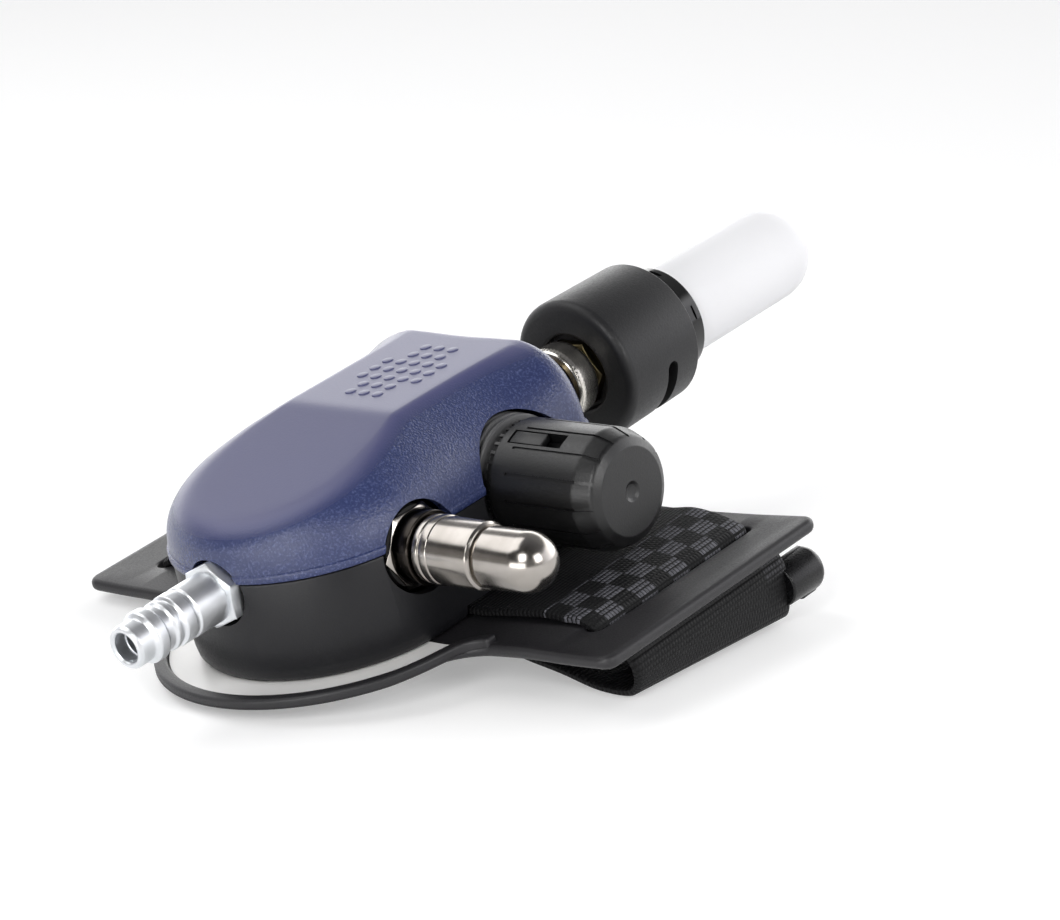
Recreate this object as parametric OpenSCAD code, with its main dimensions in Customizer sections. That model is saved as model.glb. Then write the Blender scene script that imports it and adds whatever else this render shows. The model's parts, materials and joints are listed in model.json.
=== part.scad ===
// Belt-worn compressed-air control valve. Units: mm.
// Frame: X along the belt (knob and whistle side is +X), Y from the inlet nipple
// (-Y) to the outlet and silencer (+Y), Z up. Z=0 is the plate's underside,
// Y=0 is the strap's centreline and the knob's axis.

/* [Main axis] */
// Height of the inlet-outlet axis over the plate's underside
axis_z = 23.5; // [20:0.5:30]

/* [Belt plate] */
// Plate length along the belt
plate_l = 153; // [130:1:180]
// Front edge of the plate (Y)
plate_y0 = -36.5; // [-45:0.5:-30]
// Back edge of the plate (Y)
plate_y1 = 33; // [30:0.5:45]
// Plate thickness
plate_t = 3; // [2:0.1:5]
// Corner radius of the plate
plate_cr = 4.5; // [2:0.5:10]
// Fillet radius between the plate and the lobe
lobe_f = 9; // [4:0.5:14]
// Radius of the round front lobe
lobe_r = 40.5; // [36:0.5:48]
// Width of the raised rim
rim_w = 3; // [2:0.1:5]
// Height of the raised rim over the plate
rim_h = 1.4; // [0.5:0.1:3]
// Width of each strap slot
slot_w = 4.6; // [3.5:0.1:7]
// Plate left outboard of each slot
slot_bar = 7; // [5:0.5:12]
// Depth of the label recess
label_t = 0.4; // [0.2:0.1:1]
// Clearance round the label
label_c = 0.3; // [0.1:0.1:1]

/* [Strap] */
// Webbing width
strap_w = 50; // [38:1:55]
// Webbing thickness
strap_t = 1.8; // [1.2:0.1:3]
// Slot clearance at each side of the webbing
strap_c = 1; // [0.5:0.1:3]
// Depth of the hanging fold at its front end
fold_front = 10; // [6:0.5:14]
// Depth of the hanging fold at its back end
fold_back = 16; // [12:0.5:20]
// Thickness of the belt hook's bars
hook_t = 4; // [3:0.5:6]
// Length of the belt hook's end block beyond the webbing
hook_end = 9; // [6:0.5:14]

/* [Housing] */
// Outer width of the black base cover
base_w = 62; // [56:0.5:70]
// Lip of the top cover outside the base cover, per side
lip_out = 0.9; // [0.5:0.1:2]
// Height of the lip band
lip_h = 2.4; // [1:0.1:4]
// Centre of the round nose (Y)
nose_y = -33.5; // [-38:0.5:-30]
// Rear face of the housing (Y)
rear_y = 22; // [18:0.5:26]
// Height of the parting line over the main axis
part_up = 2.5; // [1:0.1:5]
// Height of the flat top over the main axis
top_up = 22; // [18:0.5:26]
// Front end of the flat top (Y)
flat_y = -19.5; // [-25:0.5:-12]
// Width of the flat top
flat_w = 32; // [24:1:44]
// Height of the nose's upper edge over the main axis
nose_up = 13; // [8:0.5:16]
// Wall of both covers
wall = 2.4; // [1.8:0.1:3.5]
// Strap tunnel height over the plate
tunnel_h = 3.2; // [2.6:0.1:5]
// Radius of the opening round the nipple
hole_in_r = 9.3; // [8.5:0.1:11]
// Radius of the opening round the whistle
hole_wh_r = 10.6; // [9.5:0.1:12]
// Radius of the opening round the knob
hole_kn_r = 14.5; // [14:0.1:16]
// Radius of the opening round the outlet
hole_out_r = 9.6; // [9:0.1:12]

/* [Valve block] */
// Block width and height
blk_w = 26; // [24:0.5:30]
// Block's top over the main axis
blk_up = 10; // [9:0.5:11]
// Block front face (Y)
blk_y0 = -57; // [-59:0.5:-54]
// Block rear face (Y)
blk_y1 = 17; // [14:0.5:19]
// Air bore radius
bore_r = 5; // [4:0.1:6]
// Threaded port radius
port_r = 5.8; // [5:0.1:7]

/* [Inlet nipple] */
// Projection of the nipple's tip from the block
nip_l = 33.5; // [30:0.5:40]
// Nose radius
nip_nose_r = 4.75; // [4.5:0.05:5]
// Collar radius
nip_collar_r = 5.9; // [5.6:0.05:6.3]
// Body radius
nip_body_r = 5.6; // [5.2:0.05:6]
// Bore radius
nip_bore_r = 3.3; // [2.5:0.1:4]
// Hex across flats
nip_hex = 13; // [12:0.5:15]

/* [Whistle] */
// Whistle axis (Y)
wh_y = -34; // [-36:0.5:-32]
// Barrel radius
wh_r = 7.1; // [6:0.1:8]
// Cap radius
wh_cap_r = 6.2; // [5.5:0.1:7]
// Hex across flats
wh_hex = 16; // [14:0.5:17]
// Hex's outer face beyond the base cover's side
wh_out = 3; // [1.5:0.5:6]
// Barrel length outside the hex
wh_l = 16; // [12:0.5:22]
// Length of the cap beyond the barrel
wh_cap_l = 18.5; // [14:0.5:24]
// Travel of the whistle's shuttle
shuttle_travel = 2; // [1:0.1:3]

/* [Control knob] */
// Knob radius
kn_r = 13; // [11:0.1:14]
// Knob's inner end beyond the base cover's side
kn_out = 2.5; // [2:0.5:6]
// Knob length
kn_l = 26; // [22:0.5:32]
// Number of grip grooves
kn_grooves = 12; // [8:1:24]
// Angle of the latch window from straight up
latch_a = 21; // [0:1:40]
// Length of the latch window
latch_l = 13.5; // [10:0.5:16]
// Width of the latch window
latch_w = 3.8; // [3:0.1:5]
// Travel of the latch tongue
latch_travel = 0.8; // [0.4:0.1:1.2]
// Spindle radius
spin_r = 3; // [2.5:0.1:4]
// Needle radius
needle_r = 2.4; // [2:0.1:3]
// Needle travel over the knob's whole turn
needle_travel = 1.5; // [0.8:0.1:3]
// Running clearance of turning pieces (radial)
run_c = 0.06; // [0.03:0.01:0.1]

/* [Outlet] */
// Front face of the outlet cup (Y)
cup_y0 = 53; // [50:0.5:58]
// Length of the outlet cup
cup_l = 26; // [22:0.5:32]
// Outer radius of the cup
cup_r = 17; // [15:0.5:19]
// Wall of the cup
cup_wall = 2.6; // [2:0.1:4]
// Width of the J-slots
jslot_w = 3.4; // [2.4:0.1:4.5]
// Angle round the cup that each slot runs over
jslot_run = 60; // [30:5:75]
// Depth of the recess in the cup's front face
cup_rec = 4; // [2:0.5:6]
// Radius of that recess
cup_rec_r = 11.5; // [10:0.5:13]
// Knurled nut radius
nut_r = 8.6; // [7.8:0.1:9]
// Knurled nut length
nut_l = 9; // [6:0.5:12]
// Stem hex across flats
tail_hex = 14; // [13:0.5:16]
// Collar radius
col_r = 12.4; // [11.6:0.1:13.5]
// Collar projection from the cup
col_out = 7; // [4:0.5:10]
// Silencer tube radius
sil_r = 10.8; // [9:0.1:11.2]
// Silencer tip (Y)
sil_y1 = 130.5; // [115:0.5:145]
// Silencer wall
sil_wall = 2.2; // [1.5:0.1:4]

/* [Fasteners] */
// Screw shank radius
scr_r = 1.5; // [1.2:0.1:2]
// Screw head radius
scr_head_r = 2.8; // [2.2:0.1:3.2]
// Screw head height
scr_head_h = 1.6; // [1.2:0.1:2]

/* [Hidden] */
$fn = 96;

part_z = axis_z + part_up;
top_z = axis_z + top_up;
nose_z = axis_z + nose_up;
base_r = base_w / 2;
wh_x1 = base_r + wh_out;         // whistle: hex, barrel end and tip (X)
wh_x2 = wh_x1 + wh_l;
wh_x3 = wh_x2 + wh_cap_l;
kn_x0 = base_r + kn_out;         // knob: inner and outer end (X)
kn_x1 = kn_x0 + kn_l;
lip_r = base_r + lip_out;
slot_x1 = plate_l / 2 - slot_bar;
slot_x0 = slot_x1 - slot_w;
slot_h = strap_w + 2 * strap_c;
label_r = lobe_r - rim_w - label_c;
roof_z = plate_t + tunnel_h;
floor_z = roof_z + wall;
foot_y = max(strap_w / 2 + strap_c + 0.5, rear_y);
foot_d = plate_y1 - foot_y - 0.6;
nip_y = blk_y0 - nip_l;          // nipple tip
nip_h0 = blk_y0 - 13;            // hex outer face
spin_x0 = kn_x0 - 12;
nut_y1 = cup_y0 - 1;              // knurled nut's ends
nut_y0 = nut_y1 - nut_l;
cup_w = cup_y0 + cup_rec;         // front of the cup's inner wall
col_y1 = cup_y0 + cup_l + col_out;
sil_y0 = cup_w + 7;
blk_b = axis_z - blk_w / 2;
fil_y = plate_y0 - lobe_f;        // fillet between plate and lobe
fil_x = sqrt(pow(lobe_r + lobe_f, 2) - pow(nose_y - fil_y, 2));
tan_x = fil_x * lobe_r / (lobe_r + lobe_f);
tan_y = nose_y - (nose_y - fil_y) * lobe_r / (lobe_r + lobe_f);

module yc(y0, y1, r) translate([0, y0, axis_z]) rotate([-90, 0, 0]) cylinder(h = y1 - y0, r = r);
module ycone(y0, y1, r0, r1) translate([0, y0, axis_z]) rotate([-90, 0, 0])
  cylinder(h = y1 - y0, r1 = r0, r2 = r1);
module yhex(y0, y1, af) translate([0, y0, axis_z]) rotate([-90, 0, 0]) rotate([0, 0, 30])
  cylinder(h = y1 - y0, r = af / sqrt(3), $fn = 6);
module xc(y, x0, x1, r) translate([x0, y, axis_z]) rotate([0, 90, 0]) cylinder(h = x1 - x0, r = r);
module xcone(y, x0, x1, r0, r1) translate([x0, y, axis_z]) rotate([0, 90, 0])
  cylinder(h = x1 - x0, r1 = r0, r2 = r1);
module xhex(y, x0, x1, af) translate([x0, y, axis_z]) rotate([0, 90, 0])
  cylinder(h = x1 - x0, r = af / sqrt(3), $fn = 6);
module yring(y0, y1, ro, ri) difference() {
  yc(y0, y1, ro);
  yc(y0 - 1, y1 + 1, ri);
}
module xring(y, x0, x1, ro, ri) difference() {
  xc(y, x0, x1, ro);
  xc(y, x0 - 1, x1 + 1, ri);
}

// bullet plan: straight sides, round nose toward -Y
module bullet(r, y1) union() {
  translate([0, nose_y]) circle(r = r);
  translate([-r, nose_y]) square([2 * r, y1 - nose_y]);
}

// top-cover form, shrunk inward by d
module cover_form(d, z0) {
  hw = flat_w / 2 - d * 0.6;
  r = lip_r - d;
  intersection() {
    translate([0, 0, z0]) linear_extrude(height = top_z - d - z0) bullet(r, rear_y + lip_out - d);
    // leaning sides and the eased top edges
    translate([0, rear_y + 20, 0]) rotate([90, 0, 0]) linear_extrude(height = 120)
      polygon([[-r, z0 - 1], [r, z0 - 1], [r, part_z + lip_h], [r - 0.9, part_z + lip_h + 1.4],
        [hw + 1.6, top_z - d - 1.6], [hw, top_z - d - 0.5], [hw - 1.5, top_z - d],
        [1.5 - hw, top_z - d], [-hw, top_z - d - 0.5], [-hw - 1.6, top_z - d - 1.6],
        [0.9 - r, part_z + lip_h + 1.4], [-r, part_z + lip_h]]);
    // side profile: rear edge, flat top, front slope, nose
    rotate([90, 0, 90]) translate([0, 0, -60]) linear_extrude(height = 120)
      polygon([[nose_y - r - 1, z0 - 1], [nose_y - r, part_z + lip_h], [nose_y - r + 0.8, nose_z - 3 - d],
        [nose_y - r + 2.4, nose_z - d], [nose_y - r + 5, nose_z + 1.2 - d], [flat_y - 2, top_z - 0.5 - d],
        [flat_y + 2, top_z - d], [rear_y - 6 - d, top_z - d], [rear_y - 2.5 - d, top_z - 1.5 - d],
        [rear_y + 0.3 - d, top_z - 7 - d], [rear_y + lip_out - d, part_z + lip_h],
        [rear_y + lip_out - d, z0 - 1]]);
    // eased nose corners
    for (s = [-1, 1]) translate([0, nose_y, 0]) rotate([0, 0, s * 45]) rotate([90, 0, 90])
      translate([0, 0, -90]) linear_extrude(height = 180)
        polygon([[-r - 0.01, 0], [-r - 0.01, part_z + lip_h], [-r + 5.2, part_z + lip_h + 12],
          [-r + 8, top_z + 8], [120, top_z + 8], [120, 0]]);
  }
}

module side_holes(grow = 0) {
  yc(-90, nose_y - 20, hole_in_r + grow);
  xc(wh_y, 12, 60, hole_wh_r + grow);
  xc(0, 12, 60, hole_kn_r + grow);
  yc(rear_y - 8, rear_y + 20, hole_out_r + grow);
}

cover_post = [[-24.5, -30], [24.5, -18.5], [-24.5, 14], [24, 18.2]];
plate_post = [[-20, -47], [20, -47], [-14, foot_y + foot_d / 2], [14, foot_y + foot_d / 2]];

module belt_plate() color("#26262a") difference() {
  union() {
    linear_extrude(height = plate_t) union() {
      translate([-plate_l / 2 + plate_cr, plate_y0]) square([plate_l - 2 * plate_cr, plate_y1 - plate_y0]);
      translate([-plate_l / 2, plate_y0 + plate_cr])
        square([plate_l, plate_y1 - plate_y0 - 2 * plate_cr]);
      for (sx = [-1, 1], y = [plate_y0 + plate_cr, plate_y1 - plate_cr])
        translate([sx * (plate_l / 2 - plate_cr), y]) circle(r = plate_cr);
      translate([0, nose_y]) circle(r = lobe_r);
      for (sx = [-1, 1]) difference() {
        polygon([[0, nose_y], [0, plate_y0 + 1], [sx * fil_x, plate_y0 + 1], [sx * fil_x, fil_y],
          [sx * tan_x, tan_y]]);
        translate([sx * fil_x, fil_y]) circle(r = lobe_f);
      }
    }
    // raised rim round the lobe
    linear_extrude(height = plate_t + rim_h) difference() {
      intersection() {
        translate([0, nose_y]) circle(r = lobe_r - 0.02);
        polygon([[0, nose_y], [2 * tan_x, 2 * (tan_y - nose_y) + nose_y - 3], [0, nose_y - 4 * lobe_r],
          [-2 * tan_x, 2 * (tan_y - nose_y) + nose_y - 3]]);
      }
      translate([0, nose_y]) circle(r = lobe_r - rim_w);
    }
  }
  for (sx = [-1, 1]) translate([sx > 0 ? slot_x0 : -slot_x1, -slot_h / 2, -1])
    cube([slot_w, slot_h, plate_t + 2]);
  // label recess
  intersection() {
    translate([0, nose_y, plate_t - label_t]) cylinder(h = 5, r = label_r + label_c);
    translate([-60, nose_y - 60, 0]) cube([120, 63.3, 20]);
  }
  for (p = plate_post) translate([p[0], p[1], -1]) {
    cylinder(h = plate_t + 2, r = scr_r + 0.2);
    cylinder(h = 1 + scr_head_h, r = scr_head_r + 0.2);
  }
}

module plate_label() color("#ececec") difference() {
  translate([0, 0, plate_t - label_t]) intersection() {
    translate([0, nose_y, 0]) cylinder(h = label_t - 0.02, r = label_r);
    translate([-60, nose_y - 60, -1]) cube([120, 63, 5]);
  }
  for (p = plate_post) translate([p[0], p[1], 0]) cylinder(h = 10, r = scr_r + 1);
}

// strap centreline, front (f=0) to back (f=1), as a closed loop in XZ
function strap_path(f) = let (
    d = fold_front + (fold_back - fold_front) * f - strap_t / 2,
    m = (slot_x0 + slot_x1) / 2, h = strap_t / 2 + 0.3, b = -strap_t / 2 - 0.3,
    tz = plate_t + h)
  [[-m + 5, tz], [-32, tz], [0, tz], [32, tz], [44, tz + 1.6], [52, tz + 2.2], [m - 7, tz + 1.2],
   [m - 2.8, tz + 0.4], [m - 0.3, plate_t + 0.2], [m, plate_t / 2], [m + 0.3, -1], [m + 3, -2.2],
   [m + 5.8, -3.6], [m + 6.1, -6], [m + 5, -d * 0.86], [m + 1.5, -d], [m - 6, -d + 0.3],
   [m - 15, -d * 0.72], [m - 25, -d * 0.42 - 0.6], [m - 34, b - 0.3], [20, b], [-20, b], [-m + 8, b],
   [-m + 3, b + 0.1], [-m + 0.5, -0.4], [-m, plate_t / 2], [-m + 0.8, plate_t + 0.4], [-m + 2.8, tz - 0.1]];
function nrm(v) = v / norm(v);
function off_path(p, s) = [for (i = [0:len(p) - 1]) let (a = p[(i + len(p) - 1) % len(p)],
    b = p[(i + 1) % len(p)], t = nrm(b - a)) p[i] + [-t[1], t[0]] * s * strap_t / 2];

module webbing_strap() color("#1d1d20") {
  y0 = -strap_w / 2;
  y1 = strap_w / 2;
  pf = strap_path(0);
  pb = strap_path(1);
  n = len(pf);
  rings = [[off_path(pf, 1), y0], [off_path(pf, -1), y0], [off_path(pb, -1), y1], [off_path(pb, 1), y1]];
  pts = [for (r = rings) for (q = r[0]) [q[0], r[1], q[1]]];
  faces = [for (k = [0:3]) for (i = [0:n - 1]) for (t = [0, 1])
    let (a = k * n + i, b = k * n + (i + 1) % n, d = ((k + 1) % 4) * n + i,
      e = ((k + 1) % 4) * n + (i + 1) % n) t == 0 ? [a, d, b] : [b, d, e]];
  polyhedron(points = pts, faces = faces);
}

// open belt hook: bars lie inside the fold, the end block stands out behind
module belt_hook() color("#1c1c1f") {
  y0 = -strap_w / 2 + 2;
  y1 = strap_w / 2 + 1;
  m = (slot_x0 + slot_x1) / 2;
  a = atan((fold_back - fold_front) * 0.7 / strap_w);
  union() {
    for (q = [[m + 2.6, hook_t / 2], [m - 5, hook_t / 2 - 0.4]])
      translate([q[0], y0, -fold_front / 2 - 0.2]) rotate([-90 - a, 0, 0])
        cylinder(h = (y1 - y0 + 1.5) / cos(a), r = q[1]);
    for (dx = [-1.5, 2.5]) translate([m + dx, y1, -fold_back / 2 - 2.5]) rotate([-90, 0, 0])
      cylinder(h = hook_end, r = 5.6);
    translate([m - 1.5, y1, -fold_back / 2 - 8.1]) cube([4, hook_end, 11.2]);
  }
}

module base_cover() color("#2a2a2e") difference() {
  union() {
    difference() {
      translate([0, 0, plate_t]) linear_extrude(height = part_z - plate_t - 0.05) bullet(base_r, rear_y);
      translate([0, 0, floor_z]) linear_extrude(height = 60) bullet(base_r - wall, rear_y - wall);
      side_holes();
    }
    // block rests and screw posts
    for (y = [blk_y0 + 8, blk_y1 - 8]) translate([-9, y - 4, roof_z + 1]) cube([18, 8, blk_b - roof_z - 1]);
    intersection() {
      for (p = cover_post) translate([p[0], p[1], roof_z + 0.5])
        cylinder(h = part_z - roof_z - 0.55, r = 3.6);
      translate([0, 0, plate_t]) linear_extrude(height = 60) bullet(base_r - 0.5, rear_y - 0.5);
    }
    // rear foot behind the strap
    translate([-20, rear_y - 2, roof_z]) cube([40, foot_y + foot_d - rear_y + 2, 4.5]);
    translate([-20, foot_y, plate_t]) cube([40, foot_d, tunnel_h + 1]);
    translate([0, 0, plate_t]) for (p = plate_post) if (p[1] < 0) translate([p[0], p[1], 0])
      cylinder(h = floor_z + 4 - plate_t, r = 4);
  }
  // strap tunnel
  translate([-60, -strap_w / 2 - strap_c, 0]) cube([120, foot_y + strap_w / 2 + strap_c, roof_z]);
  side_holes();
  for (p = plate_post) translate([p[0], p[1], 0]) cylinder(h = plate_t + 8.2, r = scr_r + 0.02);
  for (p = cover_post) translate([p[0], p[1], 0]) {
    cylinder(h = 60, r = scr_r + 0.25);
    cylinder(h = roof_z + 2.48 + scr_head_h, r = scr_head_r + 0.25);
  }
  for (y = [blk_y0 + 8, blk_y1 - 8]) translate([0, y, 0]) {
    cylinder(h = 60, r = scr_r + 0.25);
    cylinder(h = roof_z + scr_head_h + 0.4, r = scr_head_r + 0.25);
  }
}

module top_cover() color("#3b4570") difference() {
  union() {
    difference() {
      cover_form(0, part_z);
      difference() {
        cover_form(wall, part_z - 1);
        for (p = cover_post) translate([p[0], p[1], part_z - 2]) cylinder(h = 60, r = 3.4);
      }
    }
    // generic oval pad: plain dots
    intersection() {
      translate([0, (flat_y + rear_y) / 2 - 1, top_z - 0.2]) 
        linear_extrude(height = 0.6) for (i = [-2:2], j = [-3:3])
          if (pow(i / 2.4, 2) + pow(j / 3.5, 2) < 1.01) translate([i * 4, j * 4]) circle(r = 1.2, $fn = 32);
      translate([-40, -60, 0]) cube([80, 120, 90]);
    }
  }
  side_holes();
  for (p = cover_post) translate([p[0], p[1], part_z - 1]) cylinder(h = 7.2, r = scr_r + 0.02);
}

module cover_screws() color("#8d8f94") for (p = cover_post) translate([p[0], p[1], roof_z + 2.45])
  difference() {
    union() {
      cylinder(h = scr_head_h, r = scr_head_r);
      cylinder(h = part_z + 5.6 - roof_z - 2.45, r = scr_r);
    }
    translate([0, 0, -1]) cylinder(h = 1.9, r = 1.1, $fn = 6);
  }

module plate_screws() color("#8d8f94") for (p = plate_post) translate([p[0], p[1], 0.1]) difference() {
  union() {
    cylinder(h = scr_head_h - 0.15, r = scr_head_r);
    cylinder(h = plate_t + 7.6, r = scr_r);
  }
  translate([0, 0, -1]) cylinder(h = 1.9, r = 1.1, $fn = 6);
}

module valve_block() color("#2f3034") difference() {
  translate([-blk_w / 2, blk_y0, blk_b + 0.02]) cube([blk_w, blk_y1 - blk_y0, blk_w / 2 + blk_up]);
  yc(blk_y0 - 1, blk_y0 + 34, bore_r);
  yc(blk_y0 - 1, blk_y0 + 9, port_r);
  yc(3.6, blk_y1 + 1, bore_r);
  yc(blk_y1 - 9, blk_y1 + 1, port_r);
  yc(-24, 1, 2.6);
  xc(wh_y, 0, 40, 2);
  xc(wh_y, wh_in - 0.1, 40, port_r);
  xc(0, -2, 40, 2.6);
  xc(0, 0.5, 40, port_r);
  translate([seat_x1 + 0.1, 3, axis_z - 2]) cube([3.2, 6, 4]);
  for (y = [blk_y0 + 8, blk_y1 - 8]) translate([0, y, 0]) cylinder(h = blk_b + 5, r = scr_r + 0.02);
}

module block_screws() color("#8d8f94") for (y = [blk_y0 + 8, blk_y1 - 8])
  translate([0, y, roof_z + 0.45]) difference() {
    union() {
      cylinder(h = scr_head_h - 0.1, r = scr_head_r);
      cylinder(h = blk_b + 4.4 - roof_z - 0.45, r = scr_r);
    }
    translate([0, 0, -1]) cylinder(h = 1.9, r = 1.1, $fn = 6);
  }

module inlet_nipple() color("#c9ccd0") difference() {
  union() {
    ycone(nip_y, nip_y + 1, nip_nose_r - 0.8, nip_nose_r);
    yc(nip_y + 1, nip_y + 7, nip_nose_r);
    ycone(nip_y + 7, nip_y + 8, nip_nose_r, nip_collar_r);
    yc(nip_y + 8, nip_y + 9.6, nip_collar_r);
    yc(nip_y + 9.6, nip_y + 12, nip_nose_r - 0.4);
    ycone(nip_y + 12, nip_y + 13, nip_nose_r - 0.4, nip_body_r);
    yc(nip_y + 13, nip_y + 18.4, nip_body_r);
    yc(nip_y + 18.4, nip_y + 19.2, nip_body_r - 0.6);
    yc(nip_y + 19.2, nip_h0 + 0.2, nip_body_r);
    intersection() {
      yhex(nip_h0, blk_y0 - 4.5, nip_hex);
      ycone(nip_h0 - 2.5, blk_y0 - 4.5, 5.6, 11.6);
    }
    yc(blk_y0 - 5.5, blk_y0 + 8, port_r - 0.04);
    yc(blk_y0 - 5, blk_y0 - 1.3, 6.3);
  }
  yc(nip_y - 1, blk_y0 + 9, nip_bore_r);
}

module nipple_seal() color("#1b1b1b") yring(blk_y0 - 1.25, blk_y0 - 0.05, 6.3, port_r + 0.02);

module inlet_strainer() color("#b98b4a") difference() {
  union() {
    yc(blk_y0 + 8.1, blk_y0 + 9.6, bore_r - 0.05);
    ycone(blk_y0 + 9.6, blk_y0 + 19, bore_r - 1, 1.6);
  }
  yc(blk_y0 + 8, blk_y0 + 9.65, 3);
  ycone(blk_y0 + 9.6, blk_y0 + 18, 3, 0.8);
}

chk_y = blk_y0 + 20;              // non-return seat
chk_r = 2.6;
wh_in = 6.6;                     // inner end of the whistle's shank
seat_x1 = 4.5;                   // outer face of the needle's seat
module check_retainer() color("#b3a06a") yring(chk_y, chk_y + 2, bore_r - 0.05, chk_r);
module check_poppet() color("#cfcfd4") difference() {
  union() {
    ycone(chk_y + 0.6, chk_y + 2.3, 1.3, chk_r - 0.3);
    yc(chk_y + 2.1, chk_y + 4.2, bore_r - run_c);
    yc(chk_y + 4.1, chk_y + 6.5, 1.6);
  }
  for (a = [0, 90, 180, 270]) translate([0, 0, axis_z]) rotate([0, a, 0])
    translate([3.2, chk_y + 1, -0.8]) cube([4, 5, 1.6]);
}
module check_spring() color("#9a9ca0") yring(chk_y + 4.3, blk_y0 + 33.9, 3, 2.2);

module needle_seat() color("#b3a06a") difference() {
  xc(0, 0.55, seat_x1, port_r - 0.05);
  xc(0, 0, 6, 1.3);
}
module metering_needle() color("#c8cacd") union() {
  xcone(0, seat_x1 + 0.4, seat_x1 + 3, 1.1, needle_r);
  xc(0, seat_x1 + 3, spin_x0 + 3, needle_r);
}
module spindle_gland() color("#b9a45e") difference() {
  union() {
    xc(0, 8, blk_w / 2 + 0.1, port_r - 0.04);
    xhex(0, blk_w / 2 + 1.2, blk_w / 2 + 7, 15);
    xc(0, blk_w / 2, blk_w / 2 + 1.3, 6.1);
    xc(0, blk_w / 2 + 7, kn_x0 - 3.2, 6);
  }
  xc(0, 7, spin_x0 - 0.2, needle_r + run_c);
  xc(0, spin_x0 - 1.2, 60, spin_r + run_c);
  xring(0, spin_x0 + 1.9, spin_x0 + 3.9, spin_r + 1.3, 1);
  xring(0, spin_x0 + 5.4, spin_x0 + 7.4, spin_r + 1.3, 1);
}
module gland_seal() color("#1b1b1b") xring(0, blk_w / 2 + 0.05, blk_w / 2 + 1.15, 7.6, 6.15);
module control_spindle() color("#b5b7bb") difference() {
  union() {
    xc(0, spin_x0, kn_x0 + 14, spin_r);
  }
  xc(0, spin_x0 - 1, spin_x0 + 4.5 + needle_travel, needle_r + run_c);
  xc(0, kn_x0 + 6, 90, 1.2);
}
module spindle_seals() color("#1b1b1b") for (x = [spin_x0 + 2.9, spin_x0 + 6.4])
  xring(0, x - 0.8, x + 0.8, spin_r + 1.28, spin_r + 0.08);
module knob_ring() color("#55565a") difference() {
  union() {
    xc(0, kn_x0 - 3, kn_x0 - 0.3, kn_r + 0.6);
    xc(0, base_r - 2, kn_x0 - 3, kn_r - 1);
  }
  xc(0, base_r - 11, kn_x0 + 20, 7.2);
}

module control_knob() color("#1a1a1d") difference() {
  union() {
    xc(0, kn_x0, kn_x1 - 4, kn_r);
    xcone(0, kn_x1 - 4, kn_x1 - 1.2, kn_r, kn_r - 1);
    xcone(0, kn_x1 - 1.2, kn_x1, kn_r - 1, kn_r - 2.6);
  }
  // hollow skirt round the hub
  difference() {
    xc(0, kn_x0 - 1, kn_x1 - 8, kn_r - 2.2);
    xc(0, kn_x0 - 1, 90, 6);
  }
  xc(0, kn_x0 - 1, kn_x0 + 14.2, spin_r + 0.05);
  xc(0, kn_x0, kn_x1 - 2.4, 1.7);
  xc(0, kn_x1 - 0.8, kn_x1 + 1, 1.4);
  for (i = [0:kn_grooves - 1]) rotate_x(latch_a + (i + 0.5) * 360 / kn_grooves)
    translate([kn_x0 + 4, -0.45, kn_r - 0.6]) cube([60, 0.9, 3]);
  // latch window
  rotate_x(latch_a) translate([kn_x0 + 0.7, -latch_w / 2, kn_r - 2.2 - latch_travel])
    cube([latch_l, latch_w, 6]);
}
module rotate_x(a) translate([0, 0, axis_z]) rotate([a, 0, 0]) children();
module knob_latch() color("#202023") rotate_x(latch_a)
  translate([kn_x0 + 0.9, -latch_w / 2 + 0.2, kn_r - 1.7]) cube([8, latch_w - 0.4, 1.5]);
module knob_screw() color("#8d8f94") union() {
  xc(0, kn_x0 + 7, kn_x1 - 4.8, 1.15);
  xc(0, kn_x0 + 14.3, kn_x0 + 15.8, 1.65);
}

module whistle_body() color("#c4beb2") difference() {
  union() {
    xc(wh_y, wh_in, blk_w / 2 + 0.2, port_r - 0.04);
    xc(wh_y, blk_w / 2, wh_x1 - 5, 6.4);
    intersection() {
      xhex(wh_y, wh_x1 - 5, wh_x1, wh_hex);
      xcone(wh_y, wh_x1 - 6, wh_x1 + 0.01, 10.4, 8.4);
    }
    xc(wh_y, wh_x1, wh_x1 + 1.6, wh_r - 0.5);
    xc(wh_y, wh_x1 + 1.6, wh_x2, wh_r);
  }
  for (x = [wh_x1 + 5.5, wh_x1 + 10.5]) xring(wh_y, x, x + 0.7, wh_r + 2, wh_r - 0.5);
  xc(wh_y, 3, 90, 1.5);
  xc(wh_y, wh_x1 - 8, wh_x2 + 1, 4);
  xc(wh_y, wh_x2 - 5, wh_x2 + 1, 5);
}
module whistle_washer() color("#1b1b1b") difference() {
  xc(wh_y, wh_x1 - 7.4, wh_x1 - 5.1, 8.6);
  xc(wh_y, wh_x1 - 14, wh_x1 - 4, 6.45);
}
module whistle_shuttle() color("#d8b25a") union() {
  xc(wh_y, wh_x1 - 4, wh_x1 + 4, 4 - run_c);
  xc(wh_y, wh_x1 + 3.9, wh_x2 - 5.4 - shuttle_travel, 1.5);
}
module whistle_spring() color("#9a9ca0") xring(wh_y, wh_x1 + 4.1, wh_x2 - 5, 3.2, 2.4);
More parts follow.
